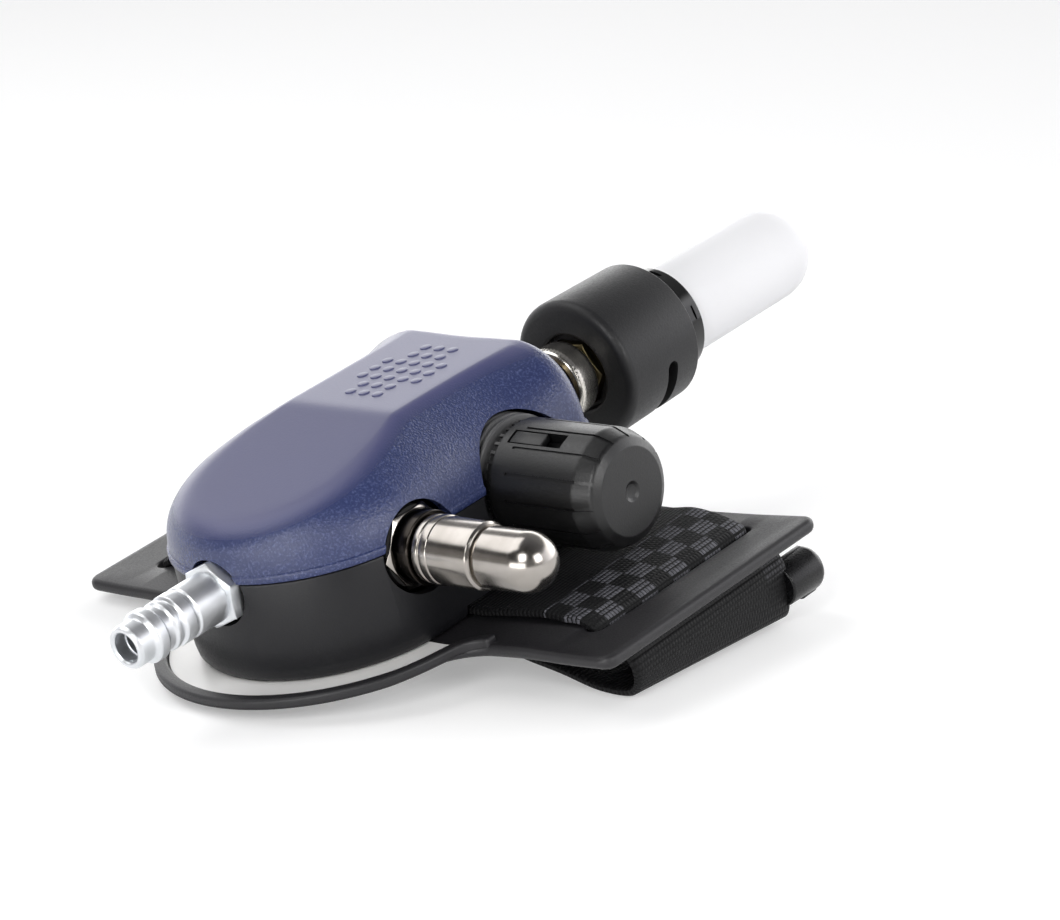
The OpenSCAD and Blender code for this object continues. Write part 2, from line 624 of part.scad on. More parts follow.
module whistle_cap() color("#c4beb2") difference() {
  union() {
    xc(wh_y, wh_x2 - 4.9, wh_x2 + 0.1, 4.96);
    xcone(wh_y, wh_x2 + 0.1, wh_x2 + 1, wh_cap_r - 0.6, wh_cap_r);
    xc(wh_y, wh_x2 + 1, wh_x3 - wh_cap_r, wh_cap_r);
    translate([wh_x3 - wh_cap_r, wh_y, axis_z]) sphere(r = wh_cap_r);
  }
  xc(wh_y, wh_x2 - 1, wh_x3 - 3, 3.4);
  for (a = [0, 180]) translate([wh_x2 + 3, wh_y, axis_z]) rotate([a + 115, 0, 0])
    translate([0, -0.6, 2]) cube([5, 1.2, 6]);
}

module outlet_tailpiece() color("#b9a45e") difference() {
  union() {
    yc(blk_y1 - 8, blk_y1 + 0.1, port_r - 0.04);
    yhex(blk_y1 + 1.2, blk_y1 + 7, 15);
    yc(blk_y1, blk_y1 + 1.3, 6.1);
    yc(blk_y1 + 6.5, nut_y0 - 0.4, 6.2);
    yc(nut_y0 - 1, nut_y1 - 4, 4.9);
    yc(nut_y1 - 4.2, nut_y1 - 2, 6.4);
  }
  yc(0, 90, 3.2);
}
module tailpiece_seal() color("#1b1b1b") yring(blk_y1 + 0.05, blk_y1 + 1.15, 7.6, 6.15);
module union_nut() color("#c4beb2") difference() {
  yc(nut_y0, nut_y1, nut_r);
  yc(nut_y0 - 1, nut_y1 - 4.4, 4.9 + run_c);
  yc(nut_y1 - 4.5, nut_y1 + 1, 6.5);
  for (i = [0:19]) translate([0, 0, axis_z]) rotate([0, i * 18, 0])
    translate([-0.45, nut_y0 - 1, nut_r - 0.35]) cube([0.9, nut_l + 3, 2]);
}
module outlet_stem() color("#b9a45e") difference() {
  union() {
    yc(nut_y1 - 1.9, nut_y1 + 0.3, 6.42);
    yhex(nut_y1 + 0.2, cup_w - 0.03, tail_hex);
    yc(cup_w - 0.5, cup_w + 4.3, 6);
    yc(cup_w + 4.2, cup_w + 5.8, 8);
  }
  yc(nut_y0, cup_w + 10, 3.2);
}
module outlet_cup() color("#17171a") difference() {
  union() {
    ycone(cup_y0, cup_y0 + 2, cup_r - 2.4, cup_r - 0.5);
    ycone(cup_y0 + 2, cup_y0 + 5, cup_r - 0.5, cup_r);
    yc(cup_y0 + 5, cup_y0 + cup_l, cup_r);
  }
  yc(cup_y0 - 1, cup_w, cup_rec_r);
  yc(cup_y0 - 1, cup_y0 + 60, 6.05);
  yc(cup_w + 4.2, cup_y0 + 60, 9);
  yc(cup_w + 8, cup_y0 + 60, cup_r - cup_wall);
  // two bayonet slots for the hose fitting: a run round the cup, then the way in
  for (a = [0, 180]) translate([0, cup_y0 + cup_l - 10.5, axis_z]) rotate([0, a, 0]) {
    intersection() {
      rotate([-90, 0, 0]) difference() {
        cylinder(h = jslot_w, r = cup_r + 2);
        translate([0, 0, -1]) cylinder(h = 10, r = cup_r - 6);
      }
      rotate([-90, 0, 0]) translate([0, 0, -1]) linear_extrude(height = 10) polygon([[0, 0],
        for (t = [0, 0.5, 1]) [48 * cos(13 + t * jslot_run), 48 * sin(13 + t * jslot_run)]]);
    }
    for (t = [13, 13 + jslot_run]) rotate([0, t, 0]) translate([cup_r - 6, jslot_w / 2, 0])
      rotate([0, 90, 0]) cylinder(h = 10, r = jslot_w / 2);
    rotate([0, 13 + jslot_run, 0]) translate([cup_r - 6, jslot_w / 2, -jslot_w / 2])
      cube([10, 14, jslot_w]);
  }
}
module cup_seal() color("#1b1b1b") yring(cup_w + 5.85, cup_w + 7.4, 8.9, 3.6);
module silencer_collar() color("#101012") difference() {
  union() {
    yc(cup_w + 8.1, cup_w + 11, cup_r - cup_wall - 0.08);
    yc(cup_w + 11, col_y1, col_r);
  }
  yc(cup_y0, col_y1 + 1, sil_r + 0.1);
  for (i = [0:11]) translate([0, 0, axis_z]) rotate([0, i * 30 + 20, 0])
    translate([-2.3, col_y1 - 5, col_r - 0.9]) cube([4.6, 3.6, 3]);
}
module collar_seal() color("#1b1b1b")
  yring(cup_w + 11.2, cup_w + 12.8, cup_r - cup_wall - 0.1, col_r + 0.05);
module silencer_tube() color("#f1f1ef") difference() {
  union() {
    yc(sil_y0 + 1.2, sil_y1 - sil_r, sil_r);
    translate([0, sil_y1 - sil_r, axis_z]) sphere(r = sil_r);
  }
  yc(sil_y0, sil_y1 - sil_r, sil_r - sil_wall);
  translate([0, sil_y1 - sil_r, axis_z]) sphere(r = sil_r - sil_wall);
}

belt_plate();
plate_label();
webbing_strap();
belt_hook();
base_cover();
top_cover();
cover_screws();
plate_screws();
valve_block();
block_screws();
inlet_nipple();
nipple_seal();
inlet_strainer();
check_poppet();
check_spring();
check_retainer();
needle_seat();
metering_needle();
spindle_gland();
gland_seal();
control_spindle();
spindle_seals();
knob_ring();
control_knob();
knob_latch();
knob_screw();
whistle_body();
whistle_washer();
whistle_shuttle();
whistle_spring();
whistle_cap();
outlet_tailpiece();
tailpiece_seal();
union_nut();
outlet_stem();
outlet_cup();
cup_seal();
silencer_collar();
collar_seal();
silencer_tube();
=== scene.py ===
"""Belt-worn compressed-air control valve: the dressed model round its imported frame.

Lengths below are written in millimetres and go to metres through mm(). X runs along the
belt, Y from the inlet nipple to the silencer, Z up from the plate's underside.
"""

import json
import math

import bmesh
import bpy
from mathutils import Matrix, Vector


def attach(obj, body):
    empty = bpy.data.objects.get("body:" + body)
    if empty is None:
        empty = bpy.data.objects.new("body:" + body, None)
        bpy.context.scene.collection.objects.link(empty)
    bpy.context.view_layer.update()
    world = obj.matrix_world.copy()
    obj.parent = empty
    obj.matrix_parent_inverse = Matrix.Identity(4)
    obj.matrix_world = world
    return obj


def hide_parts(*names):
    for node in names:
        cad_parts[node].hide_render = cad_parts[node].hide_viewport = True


AXIS_Z = 23.5  # height of the inlet-outlet axis over the plate's underside
NOSE_Y = -33.5  # centre of the housing's round nose
WHISTLE_Y = -34.0
TOP_Z = 45.5
RIDGE_Y = -19.5  # where the flat top turns into the front slope
SLOPE = 0.199


def mm(*values):
    """Millimetres to metres: one number, or a tuple."""
    return values[0] * 0.001 if len(values) == 1 else tuple(v * 0.001 for v in values)


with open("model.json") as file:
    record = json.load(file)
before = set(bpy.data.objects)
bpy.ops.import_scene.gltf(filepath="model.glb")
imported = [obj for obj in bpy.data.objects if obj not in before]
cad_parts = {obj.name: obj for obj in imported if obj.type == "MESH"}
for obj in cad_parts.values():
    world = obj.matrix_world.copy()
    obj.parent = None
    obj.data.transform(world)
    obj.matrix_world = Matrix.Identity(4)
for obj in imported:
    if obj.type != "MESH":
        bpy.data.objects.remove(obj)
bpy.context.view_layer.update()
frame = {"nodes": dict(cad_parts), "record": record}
bpy.ops.object.select_all(action="DESELECT")


# --- camera -------------------------------------------------------------------------------
def add_camera():
    right = Vector((0.73503, 0.64342, -0.21386)).normalized()
    back = Vector((0.67203, -0.64947, 0.35575))
    back = (back - right * back.dot(right)).normalized()
    up = back.cross(right)
    place = Matrix((right, up, back)).transposed().to_4x4()
    place.translation = mm(593.232, -542.253, 324.894)
    data = bpy.data.cameras.new("studio_camera")
    data.lens = 135.85
    data.sensor_width = 36.0
    data.sensor_fit = "HORIZONTAL"
    data.clip_start = 0.01
    camera = bpy.data.objects.new("studio_camera", data)
    bpy.context.scene.collection.objects.link(camera)
    camera.matrix_world = place
    bpy.context.scene.camera = camera
    bpy.context.scene.view_settings.view_transform = "Standard"


add_camera()


# --- modelling tools ----------------------------------------------------------------------
def start(name, kind, **place):
    """A primitive at its size and place, as a new piece in edit mode with all of it selected."""
    bpy.ops.object.select_all(action="DESELECT")
    getattr(bpy.ops.mesh, f"primitive_{kind}_add")(**place)
    piece = bpy.context.object
    piece.name = piece.data.name = name
    bpy.ops.object.transform_apply(location=True, rotation=True, scale=True)
    bpy.ops.object.mode_set(mode="EDIT")
    bpy.ops.mesh.select_mode(type="VERT")
    bpy.ops.mesh.select_all(action="SELECT")
    return piece


def close(piece):
    """Leaves edit mode with doubles merged and faces outward."""
    bpy.ops.mesh.select_all(action="SELECT")
    bpy.ops.mesh.remove_doubles(threshold=mm(0.004))
    bpy.ops.mesh.normals_make_consistent(inside=False)
    bpy.ops.object.mode_set(mode="OBJECT")
    return piece


def pick(test):
    """Selects, in edit mode, the vertices whose place in millimetres passes the test."""
    mesh = bmesh.from_edit_mesh(bpy.context.object.data)
    bpy.ops.mesh.select_mode(type="VERT")
    bpy.ops.mesh.select_all(action="DESELECT")
    for point in mesh.verts:
        point.select_set(bool(test(point.co * 1000)))
    mesh.select_flush_mode()
    bmesh.update_edit_mesh(bpy.context.object.data)


def only(piece):
    bpy.ops.object.select_all(action="DESELECT")
    piece.select_set(True)
    bpy.context.view_layer.objects.active = piece


def modify(piece, kind, **settings):
    """Adds a modifier and applies it."""
    only(piece)
    change = piece.modifiers.new(kind.lower(), kind)
    for key, value in settings.items():
        setattr(change, key, value)
    bpy.ops.object.modifier_apply(modifier=change.name)
    return piece


def cut(piece, tool, how="DIFFERENCE"):
    """Cuts the tool out of a piece, or keeps what they share, and deletes the tool."""
    modify(piece, "BOOLEAN", object=tool, operation=how, solver="EXACT")
    bpy.data.objects.remove(tool, do_unlink=True)
    return piece


def ease(piece, width, segments=2, angle=30):
    """Rounds the edges sharper than an angle, as a mould or a tumbler leaves them."""
    return modify(
        piece,
        "BEVEL",
        width=mm(width),
        segments=segments,
        limit_method="ANGLE",
        angle_limit=math.radians(angle),
        use_clamp_overlap=True,
        miter_outer="MITER_ARC",
    )


def join(piece, *others):
    bpy.ops.object.select_all(action="DESELECT")
    for other in (piece, *others):
        other.select_set(True)
    bpy.context.view_layer.objects.active = piece
    bpy.ops.object.join()
    return piece


def rounded(profile, steps=4):
    """A profile of (along, radius[, corner radius]) points, with its corners turned to arcs."""
    points = []
    count = len(profile)
    for i, corner in enumerate(profile):
        here = Vector(corner[:2])
        size = corner[2] if len(corner) > 2 else 0
        if not size or i in (0, count - 1):
            points.append(tuple(here))
            continue
        before = Vector(profile[i - 1][:2]) - here
        after = Vector(profile[i + 1][:2]) - here
        turn = before.angle(after)
        reach = min(size / math.tan(turn / 2), before.length * 0.48, after.length * 0.48)
        radius = reach * math.tan(turn / 2)
        centre = here + (before.normalized() + after.normalized()).normalized() * (
            radius / math.sin(turn / 2)
        )
        a = here + before.normalized() * reach - centre
        b = here + after.normalized() * reach - centre
        sweep = a.angle(b)
        for k in range(steps + 1):
            t = k / steps
            spoke = (a * math.sin((1 - t) * sweep) + b * math.sin(t * sweep)) / math.sin(sweep)
            points.append(tuple(centre + spoke))
    return points


def dome(base, radius, steps):
    """The profile of a round end whose centre lies at base on the axis."""
    turns = [math.pi / 2 * i / steps for i in range(steps + 1)]
    return [(base + radius * math.sin(a), radius * math.cos(a)) for a in turns]


def turned(name, axis, centre, profile, steps=96, arc=4):
    """A piece turned round an axis through a centre, from its half profile."""
    along = Vector([float(letter == axis) for letter in "XYZ"])
    out = Vector((1, 0, 0)) if axis == "Z" else Vector((0, 0, 1))
    middle = Vector(centre)
    middle = middle - along * middle.dot(along)
    path = [middle + along * a + out * max(r, 0) for a, r in rounded(profile, arc)]
    piece = start(name, "plane", size=0.01)
    bpy.ops.mesh.merge(type="CENTER")
    bpy.ops.transform.translate(value=mm(*path[0]))
    for before, after in zip(path, path[1:]):
        bpy.ops.mesh.extrude_region_move(
            TRANSFORM_OT_translate={"value": mm(*(after - before))}
        )
    bpy.ops.mesh.select_all(action="SELECT")
    bpy.ops.mesh.spin(
        steps=steps, angle=math.tau, center=mm(*middle), axis=along, use_auto_merge=True
    )
    return close(piece)


def rod(name, axis, centre, span, radius, sides=64):
    """A plain round, or with 6 sides a hexagon, from span[0] to span[1] along an axis."""
    middle = list(centre)
    middle["XYZ".index(axis)] = sum(span) / 2
    turn = {"X": (0, math.pi / 2, 0), "Y": (math.pi / 2, math.pi / sides, 0), "Z": (0, 0, 0)}
    piece = start(
        name,
        "cylinder",
        vertices=sides,
        radius=mm(radius),
        depth=mm(span[1] - span[0]),
        location=mm(*middle),
        rotation=turn[axis],
    )
    return close(piece)


def block(name, low, high):
    """A plain block between two corners."""
    piece = start(name, "cube", size=1)
    bpy.ops.transform.resize(value=mm(*(h - l for l, h in zip(low, high))))
    bpy.ops.transform.translate(value=mm(*((l + h) / 2 for l, h in zip(low, high))))
    return close(piece)


def turn(piece, degrees, axis, centre):
    """Turns a whole mesh about an axis through a centre."""
    place = Matrix.Translation(mm(*centre))
    spin = Matrix.Rotation(math.radians(degrees), 4, axis)
    piece.data.transform(place @ spin @ place.inverted())
    return piece


def laid(name, across, along, place, closed=False, chart=None):
    """A grid whose points are laid one by one: place(u, v) gives millimetres, chart(u, v) a UV."""
    piece = start(
        name, "grid", x_subdivisions=across, y_subdivisions=along, size=2, calc_uvs=True
    )
    mesh = bmesh.from_edit_mesh(piece.data)
    layer = mesh.loops.layers.uv.active
    for face in mesh.faces if chart else ():
        for loop in face.loops:
            co = loop.vert.co
            loop[layer].uv = chart((co.x + 1) / 2, (co.y + 1) / 2)
    for point in mesh.verts:
        u, v = (point.co.x + 1) / 2, (point.co.y + 1) / 2
        point.co = Vector(mm(*place(u, v)))
    bmesh.update_edit_mesh(piece.data)
    if closed:
        return close(piece)
    bpy.ops.object.mode_set(mode="OBJECT")
    return piece


def capped(piece):
    """Merges a laid skin's seams and fills each open end with one face."""
    only(piece)
    bpy.ops.object.mode_set(mode="EDIT")
    bpy.ops.mesh.select_all(action="SELECT")
    bpy.ops.mesh.remove_doubles(threshold=mm(0.004))
    bpy.ops.mesh.select_all(action="DESELECT")
    bpy.ops.mesh.select_mode(type="EDGE")
    bpy.ops.mesh.select_non_manifold()
    bpy.ops.mesh.edge_face_add()
    return close(piece)


def finish(piece, body, slot, finish_of, *nodes, smooth=35):
    """Shades a finished piece, gives it its body and material, and hides the imported nodes it
    stands for. slot is not used.
    """
    only(piece)
    bpy.ops.object.shade_smooth_by_angle(angle=math.radians(smooth))
    piece.data.materials.clear()
    piece.data.materials.append(finish_of)
    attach(piece, body)
    if nodes:
        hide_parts(*nodes)
    return piece


def curve(table, x):
    """Smooth value between the rows of a table of (x, value)."""
    if x <= table[0][0]:
        return table[0][1]
    for i in range(len(table) - 1):
        (x0, y0), (x1, y1) = table[i], table[i + 1]
        if x <= x1:
            slopes = []
            for j in (i, i + 1):
                left = table[max(j - 1, 0)]
                right = table[min(j + 1, len(table) - 1)]
                slopes.append((right[1] - left[1]) / (right[0] - left[0]))
            t = (x - x0) / (x1 - x0)
            h = x1 - x0
            return (
                (2 * t**3 - 3 * t**2 + 1) * y0
                + (t**3 - 2 * t**2 + t) * h * slopes[0]
                + (3 * t**2 - 2 * t**3) * y1
                + (t**3 - t**2) * h * slopes[1]
            )
    return table[-1][1]


# --- materials ----------------------------------------------------------------------------
def shade(code, alpha=1.0):
    """An sRGB hex colour as linear RGBA."""
    channels = [int(code[i : i + 2], 16) / 255 for i in (1, 3, 5)]
    return (
        *(c / 12.92 if c <= 0.04045 else ((c + 0.055) / 1.055) ** 2.4 for c in channels),
        alpha,
    )


def node(tree, kind, feeds=None, stops=(), **settings):
    """Adds a node with its settings and links. A feed is a socket, a node whose first output is
    meant, or a plain value. A setting is a property, or a socket's value under its name. Stops
    are the (place, hex colour) pairs of a colour ramp."""
    new = tree.nodes.new("ShaderNode" + kind)
    for key, value in settings.items():
        if hasattr(new, key):
            setattr(new, key, value)
        else:
            new.inputs[key.replace("_", " ")].default_value = value
    for key, source in (feeds or {}).items():
        if isinstance(source, bpy.types.Node):
            source = source.outputs[0]
        if isinstance(source, bpy.types.NodeSocket):
            tree.links.new(source, new.inputs[key])
        else:
            new.inputs[key].default_value = source
    row = new.color_ramp.elements if stops else ()
    while len(row) < len(stops):
        row.new(0.5)
    for element, (at, code) in zip(row, stops):
        element.position = at
        element.color = shade(code)
    return new


def material(name):
    made = bpy.data.materials.new(name)
    made.use_nodes = True
    made.node_tree.nodes.clear()
    return made, made.node_tree


def grained_plastic(
    name, base, low, grain, height, rough, spread=0.08, specular=0.5, cell=0.25, where=None
):
    """Injection-moulded plastic with a spark-eroded grain. The grain, a size and a height in
    millimetres, breaks the gloss into a fine speckle, and the colour drifts slightly where the
    gate cooled last. where() gives the share of the grain at a place: where the grain is full its
    crests are painted a paler blue, as painted glints, and with less of it the skin is duller and
    painted paler, as a painted sheen."""
    made, tree = material(name)
    place = node(tree, "TexCoord").outputs["Object"]
    fine = node(
        tree, "TexNoise", {"Vector": place}, Scale=1000 / grain, Detail=3.0, Roughness=0.6
    )
    drift = node(tree, "TexNoise", {"Vector": place}, Scale=28.0, Detail=2.0)
    tint = node(tree, "ValToRGB", {0: drift}, [(0.3, low), (0.7, base)])
    if where:
        share = where(tree, place)
        relief = node(tree, "Math", {0: fine, 1: share}, operation="MULTIPLY")
        gloss = node(tree, "MapRange", {0: share}, To_Min=rough * 1.15, To_Max=rough * 0.7)
        # painted glints: the grain's crests are painted a paler blue, most where the grain is full
        painted_glint = node(tree, "MapRange", {0: relief}, From_Min=0.5, From_Max=0.72, To_Max=0.42)
        tint = node(tree, "MixRGB", {0: painted_glint, 1: tint, 2: shade("#66719f")})
        # painted sheen: where the grain thins out, on the top facets, the colour is painted paler
        # and greyer
        pale = node(tree, "MapRange", {0: share}, From_Min=0.2, To_Min=0.6, To_Max=0.0)
        tint = node(tree, "MixRGB", {0: pale, 1: tint, 2: shade("#4f4e74")})
    else:
        relief = fine
        gloss = node(tree, "MapRange", {0: fine}, From_Min=0.3, From_Max=0.7)
        gloss.inputs["To Min"].default_value = rough - spread
        gloss.inputs["To Max"].default_value = rough + spread
    bump = node(tree, "Bump", {"Height": relief}, Strength=cell, Distance=mm(height))
    skin = node(
        tree,
        "BsdfPrincipled",
        {"Base Color": tint, "Roughness": gloss, "Normal": bump},
        IOR=1.5,
        Specular_IOR_Level=specular,
    )
    node(tree, "OutputMaterial", {"Surface": skin})
    return made


def turned_metal(name, base, dark, rough, axis, depth=0.01, shade_and_oxide=None):
    """Turned and plated metal: fine lathe rings round the axis, depth in millimetres, with a
    little uneven plating. The last argument, if given, is a stretch of the axis painted near black:
    partly painted shade of the housing's hole that this stretch sits in, partly oxide."""
    pitch, streak = 0.35, 0.06  # spacing of the rings in mm, and how far they vary the gloss
    made, tree = material(name)
    place = node(tree, "TexCoord").outputs["Object"]
    along = node(tree, "SeparateXYZ", {0: place}).outputs[axis]
    rings = node(
        tree, "TexNoise", {"W": along}, noise_dimensions="1D", Scale=1000 / pitch, Detail=2.0
    )
    cloud = node(tree, "TexNoise", {"Vector": place}, Scale=160.0, Detail=3.0)
    tint = node(tree, "ValToRGB", {0: cloud}, [(0.3, dark), (0.65, base)])
    # painted shade with some oxide: the stretch inside the housing's hole is painted near black
    if shade_and_oxide:
        first, last = mm(*shade_and_oxide)
        past = node(tree, "Math", {0: along, 1: first}, operation="GREATER_THAN")
        short = node(tree, "Math", {0: along, 1: last}, operation="LESS_THAN")
        inside = node(tree, "Math", {0: past, 1: short}, operation="MULTIPLY")
        tint = node(tree, "MixRGB", {0: inside, 1: tint, 2: shade("#35312e")})
    gloss = node(tree, "MapRange", {0: rings}, To_Min=max(rough - streak, 0.02))
    gloss.inputs["To Max"].default_value = rough + streak
    bump = node(tree, "Bump", {"Height": rings}, Strength=0.3, Distance=mm(depth))
    skin = node(
        tree,
        "BsdfPrincipled",
        {"Base Color": tint, "Roughness": gloss, "Normal": bump},
        Metallic=1.0,
    )
    node(tree, "OutputMaterial", {"Surface": skin})
    return made


def below_the_top(tree, place):
    """0.2 on the cover's two top facets, 1 from two millimetres under them."""
    part = node(tree, "SeparateXYZ", {0: place})
    slope = node(tree, "Math", {0: part.outputs["Y"], 1: SLOPE}, operation="MULTIPLY_ADD")
    slope.inputs[2].default_value = mm(TOP_Z - SLOPE * RIDGE_Y)
    lid = node(tree, "Math", {0: slope, 1: mm(TOP_Z)}, operation="MINIMUM")
    under = node(tree, "Math", {0: lid, 1: part.outputs["Z"]}, operation="SUBTRACT")
    return node(tree, "MapRange", {0: under}, From_Min=mm(0.3), From_Max=mm(2.2), To_Min=0.2)


# the cover's top facets get a painted sheen and its sides get painted glints, both placed by
# below_the_top
cover_blue = grained_plastic(
    "moulded_abs_blue", "#2b345a", "#283054", 0.5, 0.16, 0.36, cell=1.0, where=below_the_top
)
base_black = grained_plastic(
    "moulded_abs_black", "#151518", "#121215", 0.5, 0.06, 0.4, specular=0.32, cell=0.5
)
plate_black = grained_plastic(
    "moulded_nylon_black", "#1a191c", "#171619", 0.4, 0.06, 0.48, specular=0.5, cell=0.5
)
knob_black = grained_plastic(
    "moulded_knob_black", "#0b0b0c", "#09090a", 0.45, 0.05, 0.4, specular=0.55, cell=0.6
)
cup_black = grained_plastic(
    "moulded_cup_black", "#171719", "#141416", 0.5, 0.07, 0.48, specular=0.42, cell=0.5
)
hook_black = grained_plastic(
    "moulded_hook_black", "#08080a", "#070708", 0.5, 0.05, 0.3, specular=0.35, cell=0.5
)
grey_plastic = grained_plastic(
    "moulded_ring_grey", "#4a4a4b", "#414142", 0.5, 0.04, 0.4, specular=0.35, cell=0.4
)
gloss_black = grained_plastic("glossy_abs_black", "#0d0d0e", "#0b0b0c", 1.2, 0.01, 0.12, 0.03)
silencer_white = grained_plastic(
    "sintered_polyethylene", "#e6e6e8", "#e2e2e4", 0.5, 0.03, 0.6, cell=0.25
)
label_white = grained_plastic("printed_label_film", "#eeedeb", "#e6e5e3", 1.6, 0.01, 0.32, 0.04)
rubber_black = grained_plastic("moulded_rubber", "#161616", "#121212", 0.4, 0.03, 0.65, cell=0.4)
white_plastic = grained_plastic("moulded_acetal", "#dcdcd8", "#d4d4d0", 0.8, 0.02, 0.4)
zinc_plate = turned_metal("bright_zinc_plate", "#e2e4e7", "#d4d7da", 0.38, "Y")
# the whistle's shoulder at X 29.6 to 34.3 sits in the housing's hole: painted shade there, with
# some oxide
nickel_x = turned_metal(
    "polished_nickel_whistle", "#aea9a4", "#a09b95", 0.2, "X", shade_and_oxide=(29.6, 34.3)
)
nickel_y = turned_metal("nickel_knurl", "#dad7d0", "#c4c0b8", 0.22, "Y")
brass_y = turned_metal("turned_brass", "#6a6047", "#574e38", 0.34, "Y")
brass_x = turned_metal("turned_brass_fittings", "#8d8066", "#7c7058", 0.3, "X")
bronze = turned_metal("sintered_bronze", "#a07a4a", "#86633a", 0.55, "Y", depth=0.03)
steel = turned_metal("machined_steel", "#b4b6ba", "#a2a4a8", 0.28, "Y")
anodised = turned_metal("black_anodised_aluminium", "#3a3a3e", "#2e2e32", 0.42, "Y")


RIB, DASH = 1.15, 0.9  # spacing of the weft ribs and of the yarn that shows along one, in mm

# One sum a row: its name, its operation and its terms. run is the way along the loop from the
# slot, wide the place across it, both in millimetres; fluff is a fine noise.
WEAVE_SUMS = [
    ("row", "MULTIPLY", "run", 1 / RIB),
    ("row_phase", "MULTIPLY", "row", math.pi),
    ("row_wave", "SINE", "row_phase"),
    ("rib", "ABSOLUTE", "row_wave"),
    # each rib's yarns start half a spacing on from the last rib's
    ("row_number", "FLOOR", "row"),
    ("shift", "MULTIPLY", "row_number", 0.5),
    ("yarn", "MULTIPLY_ADD", "wide", 1 / DASH, "shift"),
    ("yarn_phase", "MULTIPLY", "yarn", math.pi),
    ("yarn_wave", "SINE", "yarn_phase"),
    ("dash", "ABSOLUTE", "yarn_wave"),
    ("crown", "MULTIPLY_ADD", "dash", 0.45, 0.55),
    ("weave", "MULTIPLY", "rib", "crown"),
    # grey checks of 4.7 by 5.2 mm on the last stretch before the slot
    ("run_share", "MULTIPLY", "run", 1 / 4.7),
    ("column", "FLOOR", "run_share"),
    ("wide_share", "MULTIPLY", "wide", 1 / 5.2),
    ("lane", "FLOOR", "wide_share"),
    ("square", "ADD", "column", "lane"),
    ("square_size", "ABSOLUTE", "square"),
    ("check", "MODULO", "square_size", 2.0),
    ("after_first", "GREATER_THAN", "run", -14.5),
    ("before_slot", "LESS_THAN", "run", -0.5),
    ("bend", "MULTIPLY", "after_first", "before_slot"),
    ("patch", "MULTIPLY", "bend", "check"),
    # a fainter band past the slot, and a mark near the back edge of the fold
    ("past_slot", "GREATER_THAN", "run", 5.5),
    ("band_end", "LESS_THAN", "run", 9.5),
    ("band", "MULTIPLY", "past_slot", "band_end"),
    ("mark_end", "LESS_THAN", "run", 13.0),
    ("mark_run", "MULTIPLY", "past_slot", "mark_end"),
    ("back_edge", "GREATER_THAN", "wide", 18.0),
    ("mark", "MULTIPLY", "mark_run", "back_edge"),
    ("with_band", "MULTIPLY_ADD", "band", 0.28, "patch"),
    ("with_mark", "MULTIPLY_ADD", "mark", 0.3, "with_band"),
    ("marked", "MINIMUM", "with_mark", 1.0),
    # the grey yarn shows only on the crowns of the ribs
    ("on_rib", "GREATER_THAN", "rib", 0.45),
    ("on_dash", "GREATER_THAN", "dash", 0.35),
    ("grey_rows", "MULTIPLY", "marked", "on_rib"),
    ("grey", "MULTIPLY", "grey_rows", "on_dash"),
    ("fuzzy_grey", "MULTIPLY", "grey", "fluff"),
    # painted highlight and shade: the crowns of the ribs are painted a little lighter than the
    # grooves
    ("painted_rib_shading", "MULTIPLY", "weave", 0.12),
    ("tone", "MULTIPLY_ADD", "fuzzy_grey", 1.3, "painted_rib_shading"),
    ("height", "MULTIPLY_ADD", "fluff", 0.3, "weave"),
]


def woven(name):
    """Black polyester webbing: weft ribs a millimetre apart catch the light as fine rows, through
    their bump and a painted highlight on their crowns, and a grey yarn shows as small checks on the
    last stretch before the plate's slot."""
    made, tree = material(name)
    chart = node(tree, "SeparateXYZ", {0: node(tree, "UVMap")})
    place = node(tree, "TexCoord").outputs["Object"]
    sums = {
        "run": chart.outputs["X"],
        "wide": chart.outputs["Y"],
        "fluff": node(tree, "TexNoise", {"Vector": place}, Scale=900.0, Detail=2.0),
    }
    for result, operation, *terms in WEAVE_SUMS:
        feeds = {i: sums.get(term, term) for i, term in enumerate(terms)}
        sums[result] = node(tree, "Math", feeds, operation=operation)
    tint = node(
        tree,
        "ValToRGB",
        {0: sums["tone"]},
        [(0.0, "#050506"), (0.12, "#0c0c0e"), (0.9, "#5e5e64")],
    )
    bump = node(tree, "Bump", {"Height": sums["height"]}, Strength=0.9, Distance=mm(0.28))
    skin = node(
        tree,
        "BsdfPrincipled",
        {"Base Color": tint, "Normal": bump},
        Roughness=0.62,
        Specular_IOR_Level=0.22,
    )
    node(tree, "OutputMaterial", {"Surface": skin})
    return made


webbing_black = woven("woven_polyester")

BY_SLOT = {
    "plate_black": plate_black,
    "label_white": label_white,
    "webbing_black": webbing_black,
    "plastic_black": hook_black,
    "base_black": base_black,
    "cover_blue": cover_blue,
    "steel": steel,
    "anodised_black": anodised,
    "zinc": zinc_plate,
    "rubber_black": rubber_black,
    "bronze": bronze,
    "white_plastic": white_plastic,
    "brass": brass_x,
    "grey_plastic": grey_plastic,
    "knob_black": knob_black,
    "nickel": nickel_x,
    "cup_black": cup_black,
    "gloss_black": gloss_black,
    "silencer_white": silencer_white,
}
for part in frame["record"]["subparts"]:
    carried = frame["nodes"][part["node"]]
    carried.data.materials.clear()
    carried.data.materials.append(BY_SLOT[part["material_slot"]])


# --- housing ------------------------------------------------------------------------------
def top_plane(y):
    """Height of the cover's top facets, with a soft ridge between them."""
    soft = 0.55
    low = -math.log1p(math.exp(-(y - RIDGE_Y) / soft)) * soft
    return TOP_Z + SLOPE * low


STRETCHES = [
    ("nose", 100), ("right", 48), ("corner_r", 12), ("rear", 20), ("corner_l", 12), ("left", 48)
]
STATIONS = sum(count for _, count in STRETCHES)


def station(i):
    """Walks once round the bullet plan: the stretch that a station is on and the share along it."""
    for kind, count in STRETCHES:
        if i < count:
            return kind, i / count
        i -= count


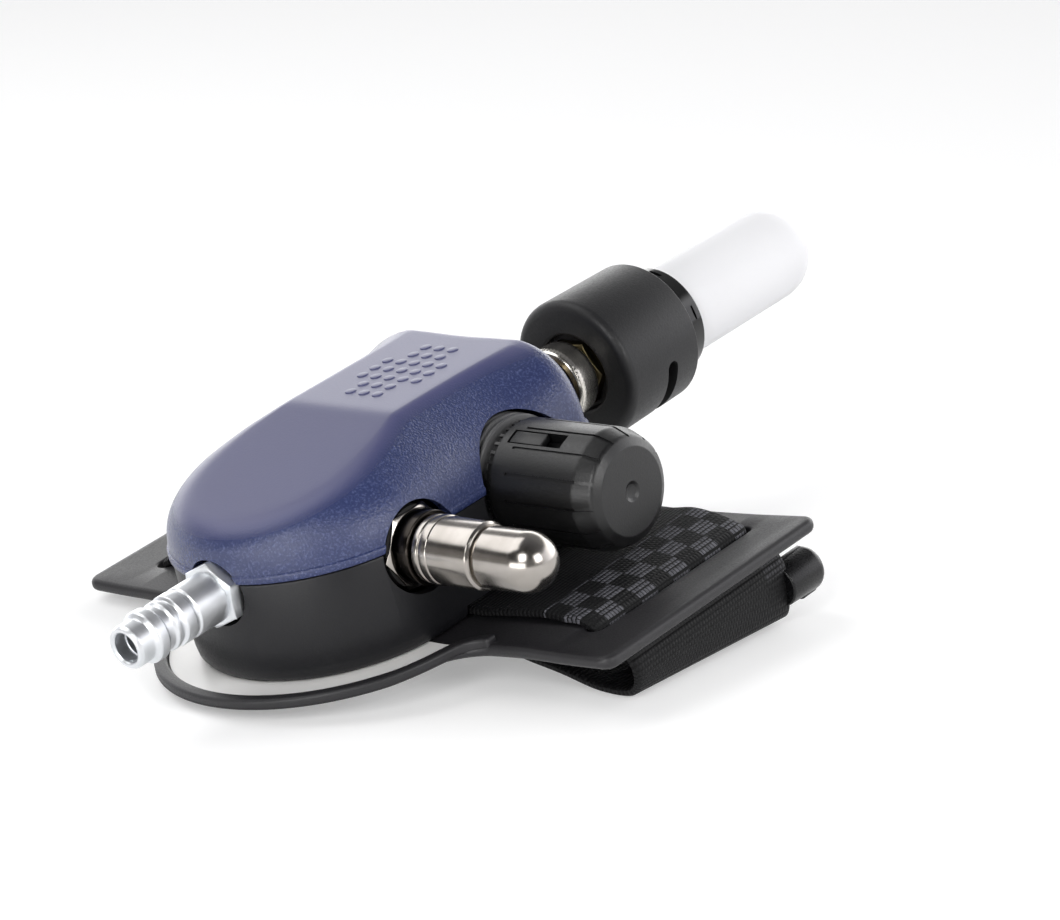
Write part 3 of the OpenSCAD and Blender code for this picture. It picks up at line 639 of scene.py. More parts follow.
def plan(kind, t, half, nose, rear, corner=4.5):
    """A point of the bullet plan of a half width, nose depth and rear face."""
    if kind == "nose":
        a = math.pi + t * math.pi
        return half * math.cos(a), NOSE_Y + nose * math.sin(a)
    if kind == "right":
        return half, NOSE_Y + t * (rear - corner - NOSE_Y)
    if kind == "left":
        return -half, rear - corner - t * (rear - corner - NOSE_Y)
    if kind == "rear":
        return (half - corner) * (1 - 2 * t), rear
    a = t * math.pi / 2
    if kind == "corner_r":
        return half - corner + corner * math.cos(a), rear - corner + corner * math.sin(a)
    return corner - half - corner * math.sin(a), rear - corner + corner * math.cos(a)


LIP = [(26.0, 31.2), (26.1, 31.45), (26.35, 31.6), (27.3, 31.6), (27.6, 31.5), (27.75, 31.35)]
WALL_ROWS, BLEND_ROWS, TOP_ROWS = 14, 6, 8

# half width of the top facets at each Y, and how the side walls lean and swell under them
TOP_W = [
    (-41, 20.7), (-35.5, 20.2), (-28.4, 18.8), (-23, 17.0), (-19, 15.9), (0, 15.7), (8, 16.0),
    (21, 16.7),
]
LEAN = [(-39, 0.03), (-26, 0.12), (-10, 0.22), (5, 0.2), (18, 0.02)]
SWELL = [(-39, 0.66), (-26, 0.62), (-10, 0.58), (5, 0.62), (18, 0.86)]
SOFT = [(-40, 3.4), (-28, 1.9), (-19, 1.0), (20, 1.1)]
TOP_REAR, TOP_NOSE = 20.4, -39.5


def cover_section(kind, t):
    """The points from the parting edge to the spine at one station."""
    rows = []
    for z, r in LIP:
        x, y = plan(kind, t, r, r, 22.0 + (r - 31.0), 4.5)
        rows.append(Vector((x, y, z)))
    foot = Vector((*plan(kind, t, 31.12, 31.12, 22.12, 4.5), 27.85))
    lean, swell, soft = 0.02, 0.86, 1.7
    if kind == "nose":
        a = math.pi + t * math.pi
        crest = Vector((20.6 * math.cos(a), TOP_NOSE + 22.8 * math.sin(a), 0))
        dip = -math.sin(a)
        lean, swell, soft = 0.03, 0.66 - 0.06 * dip, 3.4 + 0.8 * dip
    elif kind in ("right", "left"):
        along = t if kind == "right" else 1 - t
        y = TOP_NOSE + along * (TOP_REAR - 1.2 - TOP_NOSE)
        x = curve(TOP_W, y) if kind == "right" or y < -19 else 15.9
        crest = Vector((x if kind == "right" else -x, y, 0))
        lean, swell, soft = curve(LEAN, y), curve(SWELL, y), curve(SOFT, y)
    else:
        crest = Vector((*plan(kind, t, 16.1, 16.1, TOP_REAR, 1.2), 0))
    crest.z = top_plane(crest.y)
    pull = foot.lerp(crest, lean)
    pull.z = foot.z + swell * (crest.z - foot.z)

    def wall(s):
        return foot * (1 - s) ** 2 + pull * 2 * s * (1 - s) + crest * s**2

    reach = 1.0
    while (wall(reach) - crest).length < soft:
        reach -= 0.004
    for i in range(WALL_ROWS):
        rows.append(wall(reach * i / WALL_ROWS))
    side = wall(reach)
    spine_y = NOSE_Y - 4 if kind == "nose" else 8.0
    if kind in ("right", "left"):
        spine_y = min(max(crest.y, NOSE_Y - 4), 8.0)
    spine = Vector((0, spine_y, top_plane(spine_y)))
    top = crest + (spine - crest).normalized() * soft
    top.z = top_plane(top.y)
    for i in range(BLEND_ROWS):
        s = i / BLEND_ROWS
        rows.append(side * (1 - s) ** 2 + crest * 2 * s * (1 - s) + top * s**2)
    for i in range(TOP_ROWS + 1):
        p = top.lerp(spine, i / TOP_ROWS)
        p.z = top_plane(p.y)
        rows.append(p)
    return rows


def lay_cover():
    rows = len(LIP) + WALL_ROWS + BLEND_ROWS + TOP_ROWS
    sections = {}

    def place(u, v):
        i = round(u * STATIONS) % STATIONS
        if i not in sections:
            sections[i] = cover_section(*station(i))
        return sections[i][round(v * rows)]

    shell = capped(laid("cover_shell", STATIONS, rows, place))
    # hollow: a smaller copy of the skin is cut out, so the wall is about 2.2 mm all round
    hollow = shell.copy()
    hollow.data = shell.data.copy()
    bpy.context.scene.collection.objects.link(hollow)
    only(hollow)
    bpy.ops.object.mode_set(mode="EDIT")
    bpy.ops.mesh.select_all(action="SELECT")
    bpy.ops.transform.resize(value=(0.928, 0.918, 0.885), center_override=mm(0, -21.3, 25.9))
    bpy.ops.object.mode_set(mode="OBJECT")
    return cut(shell, hollow)


def housing_holes(piece):
    """The four round openings, for the nipple, the whistle, the knob and the outlet."""
    for axis, y, span, radius in (
        ("Y", 0, (-90, -50), 7.4),
        ("X", WHISTLE_Y, (14, 60), 9.8),
        ("X", 0, (14, 60), 14.3),
        ("Y", 0, (12, 40), 9.6),
    ):
        cut(piece, rod("opening", axis, (0, y, AXIS_Z), span, radius, 96))
    return piece


def grip_dots():
    """Low round dots in an oval field on the flat top."""
    dots = []
    for i in range(-2, 3):
        for j in range(-3, 4):
            if (i / 2.4) ** 2 + (j / 3.5) ** 2 < 1.01:
                y = 0.25 + j * 4
                dot = start(
                    "dot", "cylinder", vertices=28, radius=mm(1.3), depth=mm(0.5),
                    location=mm(i * 4, y, TOP_Z - 0.05),
                )
                close(dot)
                dots.append(ease(dot, 0.2, 3, 40))
    return join(*dots)


cover = housing_holes(lay_cover())
join(cover, grip_dots())
finish(cover, "valve", "cover_blue", cover_blue, "top_cover")

BASE = [
    (3.0, 27.6), (3.0, 29.0), (3.5, 30.0), (4.6, 30.7), (6.4, 31.0), (25.2, 31.0), (25.55, 30.85),
    (25.75, 30.5), (25.75, 28.4), (8.0, 28.4), (8.0, 20.0),
]


def lay_base():
    rows = len(BASE) - 1

    def place(u, v):
        kind, t = station(round(u * STATIONS) % STATIONS)
        z, r = BASE[round(v * rows)]
        x, y = plan(kind, t, r, r, 22.0 + (r - 31.0), 5.0)
        return x, y, z

    return capped(laid("base_shell", STATIONS, rows, place))


base = lay_base()
foot = ease(block("foot", (-20, 20, 3.02), (20, 32.4, 10.7)), 0.8, 3)
housing_holes(base)
# the tunnel that the webbing runs through
cut(base, block("tunnel", (-40, -26, 2), (40, 26.5, 6.2)))
join(base, foot)
finish(base, "valve", "base_black", base_black, "base_cover")


# --- belt plate ---------------------------------------------------------------------------
PLATE_X, PLATE_F, PLATE_B, PLATE_T = 78.3, -36.5, 33.0, 3.0
LOBE_R, FILLET = 40.5, 6.0
SLOT_EDGES = (62.1, 66.7)  # the webbing's slots, measured from the middle
FIL_Y = PLATE_F - FILLET
FIL_X = math.sqrt((LOBE_R + FILLET) ** 2 - (NOSE_Y - FIL_Y) ** 2)


def arc(centre, radius, a, b, steps):
    return [
        (
            centre[0] + radius * math.cos(a + (b - a) * i / steps),
            centre[1] + radius * math.sin(a + (b - a) * i / steps),
        )
        for i in range(steps + 1)
    ]


def traced(name, outline, low, high):
    """A flat outline traced point by point, filled and pulled up to its thickness."""
    piece = start(name, "plane", size=0.01)
    bpy.ops.mesh.merge(type="CENTER")
    bpy.ops.transform.translate(value=mm(*outline[0], low))
    for before, after in zip(outline, outline[1:]):
        bpy.ops.mesh.extrude_region_move(
            TRANSFORM_OT_translate={"value": mm(after[0] - before[0], after[1] - before[1], 0)}
        )
    bpy.ops.mesh.select_all(action="SELECT")
    bpy.ops.mesh.remove_doubles(threshold=mm(0.004))
    bpy.ops.mesh.edge_face_add()
    bpy.ops.mesh.extrude_region_move(TRANSFORM_OT_translate={"value": mm(0, 0, high - low)})
    return close(piece)


def plate_outline(inset=0.0):
    """Plan of the plate with its round lobe, or of a line a little inside it."""
    tangent = math.atan2(FIL_Y - NOSE_Y, FIL_X)
    lobe = arc((0, NOSE_Y), LOBE_R - inset, -math.pi / 2, tangent, 40)
    fillet = arc((FIL_X, FIL_Y), FILLET + inset, math.pi + tangent, math.pi / 2, 12)
    corner = 3.2
    front = arc((PLATE_X - corner, PLATE_F + corner), corner - inset, -math.pi / 2, 0, 8)
    back = arc((PLATE_X - corner, PLATE_B - corner), corner - inset, 0, math.pi / 2, 8)
    right = lobe + fillet[1:] + front + back
    left = [(-x, y) for x, y in reversed(right)]
    return right + left[:-1]


def wing(x, y):
    """How far the plate's ends are bent up off the wearer, more at the end that the fold lifts."""
    front = curve([(34, 0), (54, 1.7), (66, 1.9), (78.3, 2.4)], abs(x))
    back = curve([(44, 0), (61, 0.9), (78.3, 2.2)], abs(x))
    share = (y - PLATE_F) / (PLATE_B - PLATE_F)
    return (front * (1 - share) + back * share) * (1 if x > 0 else 0.35)


def stadium(x0, x1, y0, y1, steps=10):
    r = (x1 - x0) / 2
    c = (x0 + x1) / 2
    return arc((c, y1 - r), r, 0, math.pi, steps) + arc((c, y0 + r), r, math.pi, math.tau, steps)


def belt_plate():
    plate = ease(traced("belt_plate_body", plate_outline(), 0, PLATE_T), 1.2, 4, 40)
    for side in (-1, 1):
        a, b = sorted(side * edge for edge in SLOT_EDGES)
        cut(plate, traced("slot", stadium(a, b, -26, 26), -1, 4))
    ease(plate, 0.4, 3, 40)
    # shallow bed for the label
    bed = arc((0, NOSE_Y), 37.5, math.pi + 0.09, math.tau - 0.09, 60)
    cut(plate, traced("bed", bed, PLATE_T - 0.4, 6))
    # raised rim round the lobe
    tangent = math.atan2(FIL_Y - NOSE_Y, FIL_X)
    outer = arc((0, NOSE_Y), LOBE_R - 0.05, -math.pi - tangent, tangent, 80)
    outer = outer + arc((FIL_X, FIL_Y), FILLET + 0.05, math.pi + tangent, math.pi / 2, 12)[1:]
    inner = arc((FIL_X, FIL_Y), FILLET + 3.0, math.pi / 2, math.pi + tangent, 12)
    inner = inner + arc((0, NOSE_Y), LOBE_R - 3.0, tangent, -math.pi - tangent, 80)[1:]
    left = arc((-FIL_X, FIL_Y), FILLET + 3.0, -tangent, math.pi / 2, 12)
    left = left[1:] + arc((-FIL_X, FIL_Y), FILLET + 0.05, math.pi / 2, -tangent, 12)
    rim = traced("rim", outer + inner + left, 2.0, PLATE_T + 1.4)
    ease(rim, 1.0, 5, 40)
    join(plate, rim)
    only(plate)
    bpy.ops.object.mode_set(mode="EDIT")
    for x in range(34, 78, 3):
        for side in (-x, x):
            bpy.ops.mesh.select_all(action="SELECT")
            bpy.ops.mesh.bisect(plane_co=mm(side, 0, 0), plane_no=(1, 0, 0))
    for y in range(-72, -34, 3):
        bpy.ops.mesh.select_all(action="SELECT")
        bpy.ops.mesh.bisect(plane_co=mm(0, y, 0), plane_no=(0, 1, 0))
    bpy.ops.object.mode_set(mode="OBJECT")
    for point in plate.data.vertices:
        x, y, z = point.co * 1000
        # the lobe's underside rises toward its edge, so the edge looks thin from the side
        if z < 2:
            out = min(max((math.hypot(x, y - NOSE_Y) - 33) / 6, 0), 1)
            ahead = min(max((-35 - y) / 8, 0), 1)
            point.co.z += mm(2.0 * out * ahead * (1 - z / 3))
        point.co.z += mm(wing(x, min(max(y, PLATE_F), PLATE_B)))
    return plate


plate = belt_plate()
finish(plate, "valve", "plate_black", plate_black, "belt_plate")


# --- webbing ------------------------------------------------------------------------------
STRAP_T = 1.8
SLOT_X = sum(SLOT_EDGES) / 2


def strap_path(f):
    """Middle line of the webbing loop at its front edge (f = 0) to its back edge (f = 1)."""
    deep = 10 + 6 * f - STRAP_T / 2
    m = SLOT_X
    tz = PLATE_T + STRAP_T / 2 + 0.3
    b = -STRAP_T / 2 - 0.3
    hump = 1.6 + 0.9 * f
    return [
        (-m + 5, tz + 0.8), (-32, tz), (0, tz), (30, tz), (38, tz + 0.6 + 0.8 * f),
        (46, tz + hump * 0.9), (52, tz + hump * 1.2), (57, tz + hump * 1.0), (m - 4, tz + 1.7),
        (m - 1.8, tz + 1.0), (m - 0.2, PLATE_T + 1.4), (m + 0.1, PLATE_T / 2 + 1.6),
        (m + 0.4, 1.4), (m + 2.2, 0.5), (m + 6.0, 0.1), (m + 8.2, -1.6), (m + 8.8, -5),
        (m + 7.6, -deep * 0.86), (m + 4.3, -deep), (m - 3.2, -deep + 0.3), (m - 12, -deep * 0.72),
        (m - 22, -deep * 0.42 - 0.6), (m - 31, b - 0.3), (20, b), (-20, b), (-m + 8, b + 0.3),
        (-m + 3, b + 0.4), (-m + 0.5, 0.3), (-m, PLATE_T / 2 + 0.6), (-m + 0.8, PLATE_T + 1.0),
        (-m + 2.8, tz + 0.6),
    ]


def smooth_loop(points, t):
    """Catmull-Rom point of a closed loop at t in 0..1."""
    n = len(points)
    s = t * n
    i = int(s) % n
    u = s - int(s)
    p = [Vector(points[(i + k - 1) % n]) for k in range(4)]
    return 0.5 * (
        2 * p[1]
        + (p[2] - p[0]) * u
        + (2 * p[0] - 5 * p[1] + 4 * p[2] - p[3]) * u**2
        + (3 * p[1] - p[0] - 3 * p[2] + p[3]) * u**3
    )


def webbing():
    """The loop is swept as a thin rounded section whose path changes from edge to edge."""
    along, half, edge = 320, 25.0, 3
    wide = 24
    section = []
    for k in range(wide + 1):
        section.append((-half + 0.7 + (2 * half - 1.4) * k / wide, 0.9))
    for k in range(1, edge):
        a = math.pi / 2 - math.pi * k / edge
        section.append((half - 0.7 + 0.7 * math.cos(a), 0.9 * math.sin(a)))
    for k in range(wide + 1):
        section.append((half - 0.7 - (2 * half - 1.4) * k / wide, -0.9))
    for k in range(1, edge):
        a = math.pi / 2 - math.pi * k / edge
        section.append((0.7 - half - 0.7 * math.cos(a), -0.9 * math.sin(a)))
    around = len(section)

    def place(u, v):
        y, rise = section[round(v * around) % around]
        f = (y + half) / (2 * half)
        t = round(u * along) % along / along
        here = smooth_loop(strap_path(f), t)
        ahead = smooth_loop(strap_path(f), (t + 0.002) % 1.0)
        behind = smooth_loop(strap_path(f), (t - 0.002) % 1.0)
        way = (ahead - behind).normalized()
        return here.x - way.y * rise, y, here.y + way.x * rise

    run = [0.0]
    for i in range(along):
        a, b = (smooth_loop(strap_path(0.5), k / along % 1.0) for k in (i, i + 1))
        run.append(run[-1] + (b - a).length)
    zero = run[round(11 / len(strap_path(0.5)) * along)]  # where the loop drops into the slot

    def chart(u, v):
        return run[round(u * along)] - zero, section[round(v * around) % around][0]

    return laid("webbing_loop", along, around, place, closed=True, chart=chart)


strap = webbing()
finish(strap, "valve", "webbing_black", webbing_black, "webbing_strap", smooth=50)


# --- inlet nipple -------------------------------------------------------------------------
def hexagon(name, axis, centre, span, flats, chamfer):
    """A hexagon with its corners turned off at both ends."""
    piece = rod(name, axis, centre, span, flats / math.sqrt(3), 6)
    r = flats / math.sqrt(3)
    low, high = span
    keep = turned(
        "keep",
        axis,
        centre,
        [
            (low, 0), (low, flats / 2 - 0.2), (low + chamfer, r + 0.3), (high - chamfer, r + 0.3),
            (high, flats / 2 - 0.2), (high, 0),
        ],
        72,
    )
    return cut(piece, keep, "INTERSECT")


TIP = -90.5
nipple = turned(
    "nipple_body",
    "Y",
    (0, 0, AXIS_Z),
    [
        (-48, 3.0), (TIP + 3.4, 3.0), (TIP + 3.3, 3.3), (TIP + 0.4, 3.3), (TIP, 3.6, 0.15),
        (TIP, 4.3, 0.25), (TIP + 0.8, 4.75, 0.5), (TIP + 4.0, 4.7, 0.6), (TIP + 4.7, 5.5, 0.4),
        (TIP + 5.1, 5.7, 0.5), (TIP + 7.3, 5.7, 0.5), (TIP + 7.9, 4.9, 0.5),
        (TIP + 9.6, 4.9, 0.6), (TIP + 10.2, 5.4, 0.3), (TIP + 11.2, 5.4, 0.3),
        (TIP + 11.6, 4.9, 0.3), (TIP + 12.2, 4.9, 0.3), (TIP + 12.7, 5.6, 0.4),
        (TIP + 15.2, 5.6, 0.35), (TIP + 15.6, 5.25, 0.3), (TIP + 16.2, 5.25, 0.3),
        (TIP + 16.6, 5.6, 0.4), (TIP + 24.5, 5.6, 0.5), (TIP + 25.0, 6.0), (-62, 6.0), (-62, 5.6),
        (-48, 5.6), (-48, 3.0),
    ],
)
nipple_hex = hexagon("nipple_hex", "Y", (0, 0, AXIS_Z), (TIP + 24.2, TIP + 31.2), 13, 0.5)
turn(nipple_hex, -24, "Y", (0, 0, AXIS_Z))
ease(nipple_hex, 0.2, 2, 25)
cut(nipple_hex, rod("through", "Y", (0, 0, AXIS_Z), (-95, -40), 5.0))
join(nipple, nipple_hex)
finish(nipple, "valve", "zinc", zinc_plate, "inlet_nipple")


# --- whistle ------------------------------------------------------------------------------
W = (0, WHISTLE_Y, AXIS_Z)
whistle = turned(
    "whistle_barrel",
    "X",
    W,
    [
        (20, 0), (20, 6.4), (29.6, 6.4), (29.6, 7.9, 0.2), (34, 7.9, 0.3), (34, 6.5), (34.4, 6.5),
        (34.5, 7.2, 0.25), (35.9, 7.2, 0.3), (36.1, 6.9, 0.1), (36.4, 6.9, 0.1),
        (36.6, 7.3, 0.25), (38.4, 7.3, 0.3), (38.6, 7.1), (49.3, 7.1, 0.3), (49.7, 6.6),
        (50.0, 6.6), (50.0, 0),
    ],
)
whistle_hex = hexagon("whistle_hex", "X", W, (25.0, 29.7), 16, 0.9)
ease(whistle_hex, 0.2, 2, 25)
join(whistle, whistle_hex)
finish(whistle, "valve", "nickel", nickel_x, "whistle_body")
whistle_cap = turned(
    "whistle_tip",
    "X",
    W,
    [(49.9, 0), (49.9, 5.6), (50.4, 6.2, 0.3), (51.0, 6.4, 0.3)]
    + dome(60.0, 6.4, 14),
)
finish(whistle_cap, "valve", "nickel", nickel_x, "whistle_cap")


# --- knob ---------------------------------------------------------------------------------
K = (0, 0, AXIS_Z)
LATCH_ANGLE = 21
knob = turned(
    "knob_body",
    "X",
    K,
    [
        (41, 0), (41, 10.5), (29.6, 10.8), (29.5, 12.0, 0.2), (31.0, 12.3, 0.2),
        (31.3, 13.0, 0.4), (54.2, 13.0, 3.0), (58.2, 11.5, 1.8), (59.3, 9.4, 1.0),
        (59.4, 2.2, 0.3), (59.0, 1.5, 0.3), (58.7, 0),
    ],
    arc=6,
)
for i in range(14):
    groove = block("groove", (35.4, -0.3, AXIS_Z + 12.6), (55.2, 0.3, AXIS_Z + 14))
    rim = turn(
        block("rim_groove", (54.4, -0.4, AXIS_Z + 12.6), (59.0, 0.4, AXIS_Z + 14.5)), 20.7, "Y",
        (54.4, 0, AXIS_Z + 12.5),
    )
    for tool in (groove, rim):
        cut(knob, turn(tool, LATCH_ANGLE + (i + 0.5) * 360 / 14, "X", K))
window = block("window", (33.2, -1.9, AXIS_Z + 10.0), (47.9, 1.9, AXIS_Z + 14))
cut(knob, turn(window, LATCH_ANGLE, "X", K))
teeth = []
for i in range(36):
    tooth = block("tooth", (29.6, -0.35, AXIS_Z + 11.3), (31.2, 0.35, AXIS_Z + 12.5))
    teeth.append(turn(tooth, i * 10, "X", K))
join(knob, *teeth)
finish(knob, "knob", "knob_black", knob_black, "control_knob")
tongue = ease(
    block("latch_tongue", (33.6, -1.65, AXIS_Z + 11.3), (42.4, 1.65, AXIS_Z + 12.9)), 0.3, 2
)
turn(tongue, LATCH_ANGLE, "X", K)
finish(tongue, "latch", "knob_black", knob_black, "knob_latch")
ring = turned(
    "knob_seat_ring",
    "X",
    K,
    [
        (20, 9.3), (20, 13.6), (24.6, 13.6, 0.3), (24.8, 12.9, 0.2), (25.3, 12.9, 0.2),
        (25.5, 13.6, 0.3), (26.5, 13.6, 0.3), (26.7, 12.9, 0.2), (27.3, 12.9, 0.2),
        (27.5, 13.5, 0.3), (28.4, 13.5, 0.4), (28.6, 11.2), (29.1, 11.2), (29.1, 9.3), (20, 9.3),
    ],
)
finish(ring, "valve", "grey_plastic", grey_plastic, "knob_ring")


# --- outlet -------------------------------------------------------------------------------
def knurled_nut():
    """Knurled union nut: the grip's points stand on a grid of fine pyramids."""
    sides, rows = 108, 10
    y0, y1, r = 43.0, 49.4, 8.35

    def place(u, v):
        a = u * math.tau
        return r * math.cos(a), y0 + 0.6 + (y1 - y0 - 1.2) * v, AXIS_Z + r * math.sin(a)

    grip = laid("union_nut_grip", sides, rows, place, closed=True)
    only(grip)
    bpy.ops.object.mode_set(mode="EDIT")
    step = (y1 - y0 - 1.2) / rows

    def raised(p):
        a = math.atan2(p.z - AXIS_Z, p.x) % math.tau
        i = round(a / math.tau * sides)
        j = round((p.y - y0 - 0.6) / step)
        return 0 < j < rows and (i + j) % 2 == 0

    pick(raised)
    bpy.ops.transform.shrink_fatten(value=mm(0.25))
    bpy.ops.object.mode_set(mode="OBJECT")
    ends = turned(
        "ends", "Y", (0, 0, AXIS_Z),
        [
            (y0, 4.96), (y0, 7.9, 0.2), (y0 + 0.6, 8.4, 0.2), (y0 + 0.7, 8.0), (y1 - 0.7, 8.0),
            (y1 - 0.6, 8.4, 0.2), (y1, 7.9, 0.2), (y1, 6.7), (y1 - 2.0, 6.7), (y1 - 2.0, 4.96),
            (y0, 4.96),
        ],
    )
    return join(ends, grip)


nut = knurled_nut()
nut.name = nut.data.name = "union_nut_body"
finish(nut, "nut", "nickel", nickel_y, "union_nut", smooth=20)
stem = hexagon("stem_hex", "Y", (0, 0, AXIS_Z), (50.15, 56.9), 14, 0.9)
ease(stem, 0.2, 2, 25)
shank = turned(
    "shank", "Y", (0, 0, AXIS_Z),
    [
        (50.1, 3.2), (50.1, 6.42), (52.4, 6.42), (52.4, 5.9), (61.3, 5.95), (61.3, 8.0),
        (62.8, 8.0), (62.8, 3.2), (50.1, 3.2),
    ],
)
cut(stem, rod("through", "Y", (0, 0, AXIS_Z), (40, 70), 5.0))
join(stem, shank)
finish(stem, "outlet", "brass", brass_y, "outlet_stem")

SLOT = (63.4, 66.8)  # the bayonet slot runs between these Y
cup = turned(
    "outlet_cup_body",
    "Y",
    (0, 0, AXIS_Z),
    [
        (52.6, 6.05), (52.6, 8.9, 0.3), (50.7, 9.2, 0.3), (50.3, 9.7, 0.4), (50.3, 16.9, 2.2),
        (74.4, 16.5, 0.5), (74.6, 16.0, 0.2), (74.6, 14.6, 0.3), (74.4, 14.4), (65.0, 14.4),
        (65.0, 9.0), (61.2, 9.0), (61.2, 6.05), (52.6, 6.05),
    ],
    arc=6,
)
for half, reach in ((0, 73), (180, 53)):
    low, high = SLOT
    sweep = arc((0, 0), 40, math.radians(13), math.radians(reach), (reach - 13) // 5)
    slot_tool = traced("jslot", [(0, 0)] + sweep, 0, high - low)
    slot_tool.data.transform(
        Matrix.Translation(mm(0, low, AXIS_Z)) @ Matrix.Rotation(math.radians(-90), 4, "X")
    )
    keep = rod("keep", "Y", (0, 0, AXIS_Z), (60, 90), 11.0)
    cut(slot_tool, keep)
    turn(slot_tool, half, "Y", (0, 0, AXIS_Z))
    cut(cup, slot_tool)
    for d in (13, reach):
        end = rod("end", "X", (0, (low + high) / 2, AXIS_Z), (11, 20), (high - low) / 2, 32)
        cut(cup, turn(end, half + d, "Y", (0, 0, AXIS_Z)))
    leg = block("leg", (11, 65.1, AXIS_Z - 1.7), (20, 78, AXIS_Z + 1.7))
    cut(cup, turn(leg, half + reach, "Y", (0, 0, AXIS_Z)))
finish(cup, "outlet", "cup_black", cup_black, "outlet_cup")

collar = turned(
    "silencer_collar_body",
    "Y",
    (0, 0, AXIS_Z),
    [
        (65.1, 10.9), (65.1, 14.3, 0.2), (68.0, 14.3, 0.2), (68.0, 12.8), (81.4, 12.8, 0.4),
        (82.0, 12.2, 0.4), (82.0, 10.9), (65.1, 10.9),
    ],
)
for i in range(6):
    notch = block("notch", (-1.6, 77.4, AXIS_Z + 12.45), (1.8, 80.0, AXIS_Z + 14))
    cut(collar, turn(notch, 14 + i * 60, "Y", (0, 0, AXIS_Z)))
finish(collar, "silencer", "gloss_black", gloss_black, "silencer_collar")

silencer = turned(
    "silencer_body",
    "Y",
    (0, 0, AXIS_Z),
    [(66, 8.6), (66, 10.8, 0.2)]
    + dome(119.7, 10.8, 20)
    + [(128.3, 0), (119.7, 8.6), (66, 8.6)],
)
finish(silencer, "silencer", "silencer_white", silencer_white, "silencer_tube")


# --- belt hook ----------------------------------------------------------------------------
def belt_hook():
    """A moulded bar through the webbing fold, with a rounded end that shows behind it."""
    bar = turned(
        "bar", "Y", (71.8, 0, -7.8),
        [(23.5, 0), (23.5, 4.4, 0.5), (34.8, 4.75, 2.6), (34.8, 0)],
        48, arc=7,
    )
    only(bar)
    bpy.ops.object.mode_set(mode="EDIT")
    bpy.ops.mesh.select_all(action="SELECT")
    bpy.ops.transform.resize(value=(1, 1, 1.06), center_override=mm(71.8, 0, -7.8))
    bpy.ops.object.mode_set(mode="OBJECT")
    seam = ease(block("seam", (70.7, 25.5, -3.1), (71.7, 33.0, -2.7)), 0.15, 2)
    lip = ease(block("lip", (68.9, 28.5, -13.3), (73.3, 34.0, -10.9)), 0.8, 3)
    parts = []
    for x, r in ((69.4, 1.9), (62.2, 1.6)):
        spine = start(
            "bar", "cylinder", vertices=32, radius=mm(r), depth=mm(36), location=mm(x, 6.2, -6.6),
            rotation=(math.pi / 2 + math.atan(3.4 / 50), 0, 0),
        )
        parts.append(close(spine))
    # the bridge that carries the second spine, inside the fold
    bridge = ease(block("bridge", (60.9, 21.6, -7.0), (71.0, 24.4, -4.0)), 0.6, 2)
    return join(bar, seam, lip, bridge, *parts)


hook = belt_hook()
hook.name = hook.data.name = "belt_hook_body"
finish(hook, "hook", "plastic_black", hook_black, "belt_hook")


# --- stage --------------------------------------------------------------------------------
FLOOR_LIFT = 0.3  # the floor's own glow, for rays that see it
SURROUND = 3.7  # strength of the surround as light
BRIGHT_SIDE = (-0.349, 0.937, 0.0)


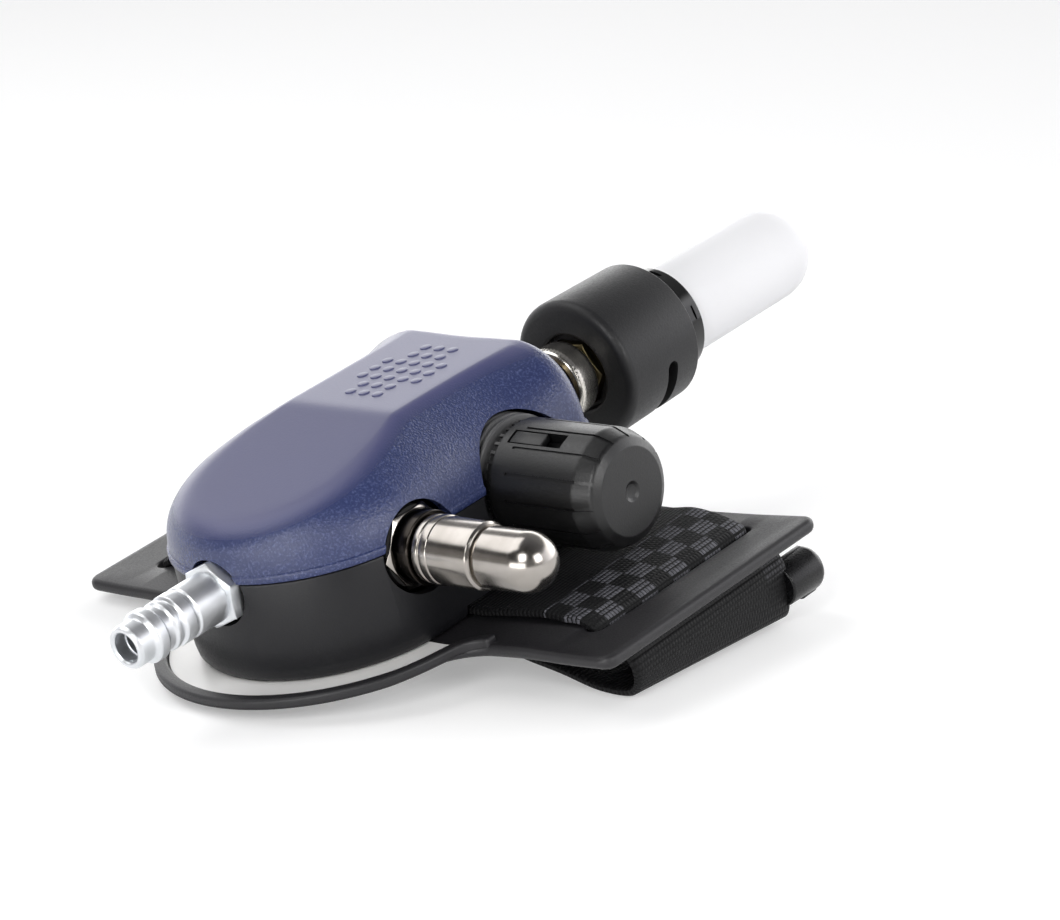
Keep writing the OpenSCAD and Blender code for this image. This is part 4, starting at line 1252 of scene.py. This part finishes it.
def stage():
    """A plain pale floor under the lobe and the webbing fold, soft lamps and a pale surround."""
    lean = Vector((0.052, 0.132, 1.0)).normalized()
    foot = Vector(mm(0, 0, -9.9))
    bpy.ops.mesh.primitive_plane_add(size=6.0)
    floor = bpy.context.object
    floor.name = "studio_floor"
    tilt = Vector((0, 0, 1)).rotation_difference(lean).to_matrix().to_4x4()
    floor.matrix_world = Matrix.Translation(foot) @ tilt
    made, tree = material("pale_sweep")
    rays = node(tree, "LightPath").outputs
    paint = node(tree, "BsdfDiffuse", Color=shade("#e4e4e4"))
    seen = node(
        tree, "Math", {0: rays["Is Camera Ray"], 1: rays["Is Glossy Ray"]}, operation="MAXIMUM"
    )
    seen = node(tree, "Math", {0: seen, 1: rays["Is Transmission Ray"]}, operation="MAXIMUM")
    lift = node(tree, "Math", {0: seen, 1: FLOOR_LIFT}, operation="MULTIPLY")
    glow = node(tree, "Emission", {"Strength": lift})
    both = node(tree, "AddShader", {0: paint, 1: glow})
    node(tree, "OutputMaterial", {"Surface": both})
    floor.data.materials.append(made)

    world = bpy.data.worlds.new("studio")
    bpy.context.scene.world = world
    world.use_nodes = True
    tree = world.node_tree
    tree.nodes.clear()
    # a pale surround for the camera, and a shaded one as light: bright behind the housing's left
    # side, dim at its right front, and dimmer overhead than at the sides
    white = node(tree, "Background", Color=(1, 1, 1, 1))
    way = node(tree, "TexCoord").outputs["Generated"]
    toward = node(tree, "VectorMath", {0: way, 1: BRIGHT_SIDE}, operation="DOT_PRODUCT")
    share = node(tree, "MapRange", {0: toward.outputs["Value"]}, From_Min=-1.0)
    rise = node(
        tree,
        "ValToRGB",
        {0: share},
        [(0.0, "#3a3a3a"), (0.31, "#504e4c"), (0.69, "#bcbcc0"), (0.92, "#ffffff")],
    )
    tall = node(tree, "SeparateXYZ", {0: way}).outputs["Z"]
    band = node(tree, "ValToRGB", {0: tall}, [(0.36, "#ffffff"), (0.48, "#5a5a5a")])
    shaded = node(tree, "MixRGB", {0: 1.0, 1: rise, 2: band}, blend_type="MULTIPLY")
    fill = node(tree, "Background", {"Color": shaded}, Strength=SURROUND)
    rays = node(tree, "LightPath").outputs
    mix = node(tree, "MixShader", {0: rays["Is Camera Ray"], 1: fill, 2: white})
    node(tree, "OutputWorld", {"Surface": mix})

    def softbox(name, place, size, power, aim=(0, 0, 20)):
        data = bpy.data.lights.new(name, "AREA")
        data.shape = "RECTANGLE"
        data.size, data.size_y = size
        data.energy = power
        lamp = bpy.data.objects.new(name, data)
        bpy.context.scene.collection.objects.link(lamp)
        lamp.location = mm(*place)
        away = lamp.location - Vector(mm(*aim))
        lamp.rotation_euler = away.to_track_quat("Z", "Y").to_euler()

    softbox("overhead", (-450, -100, 850), (0.9, 0.7), 4.4)
    softbox("key_right", (900, -40, 350), (0.36, 0.36), 3.4)
    softbox("key_front", (360, -660, 590), (0.36, 0.36), 3.4)
    softbox("low_front", (120, -1000, 190), (1.1, 0.3), 6.0)


stage()
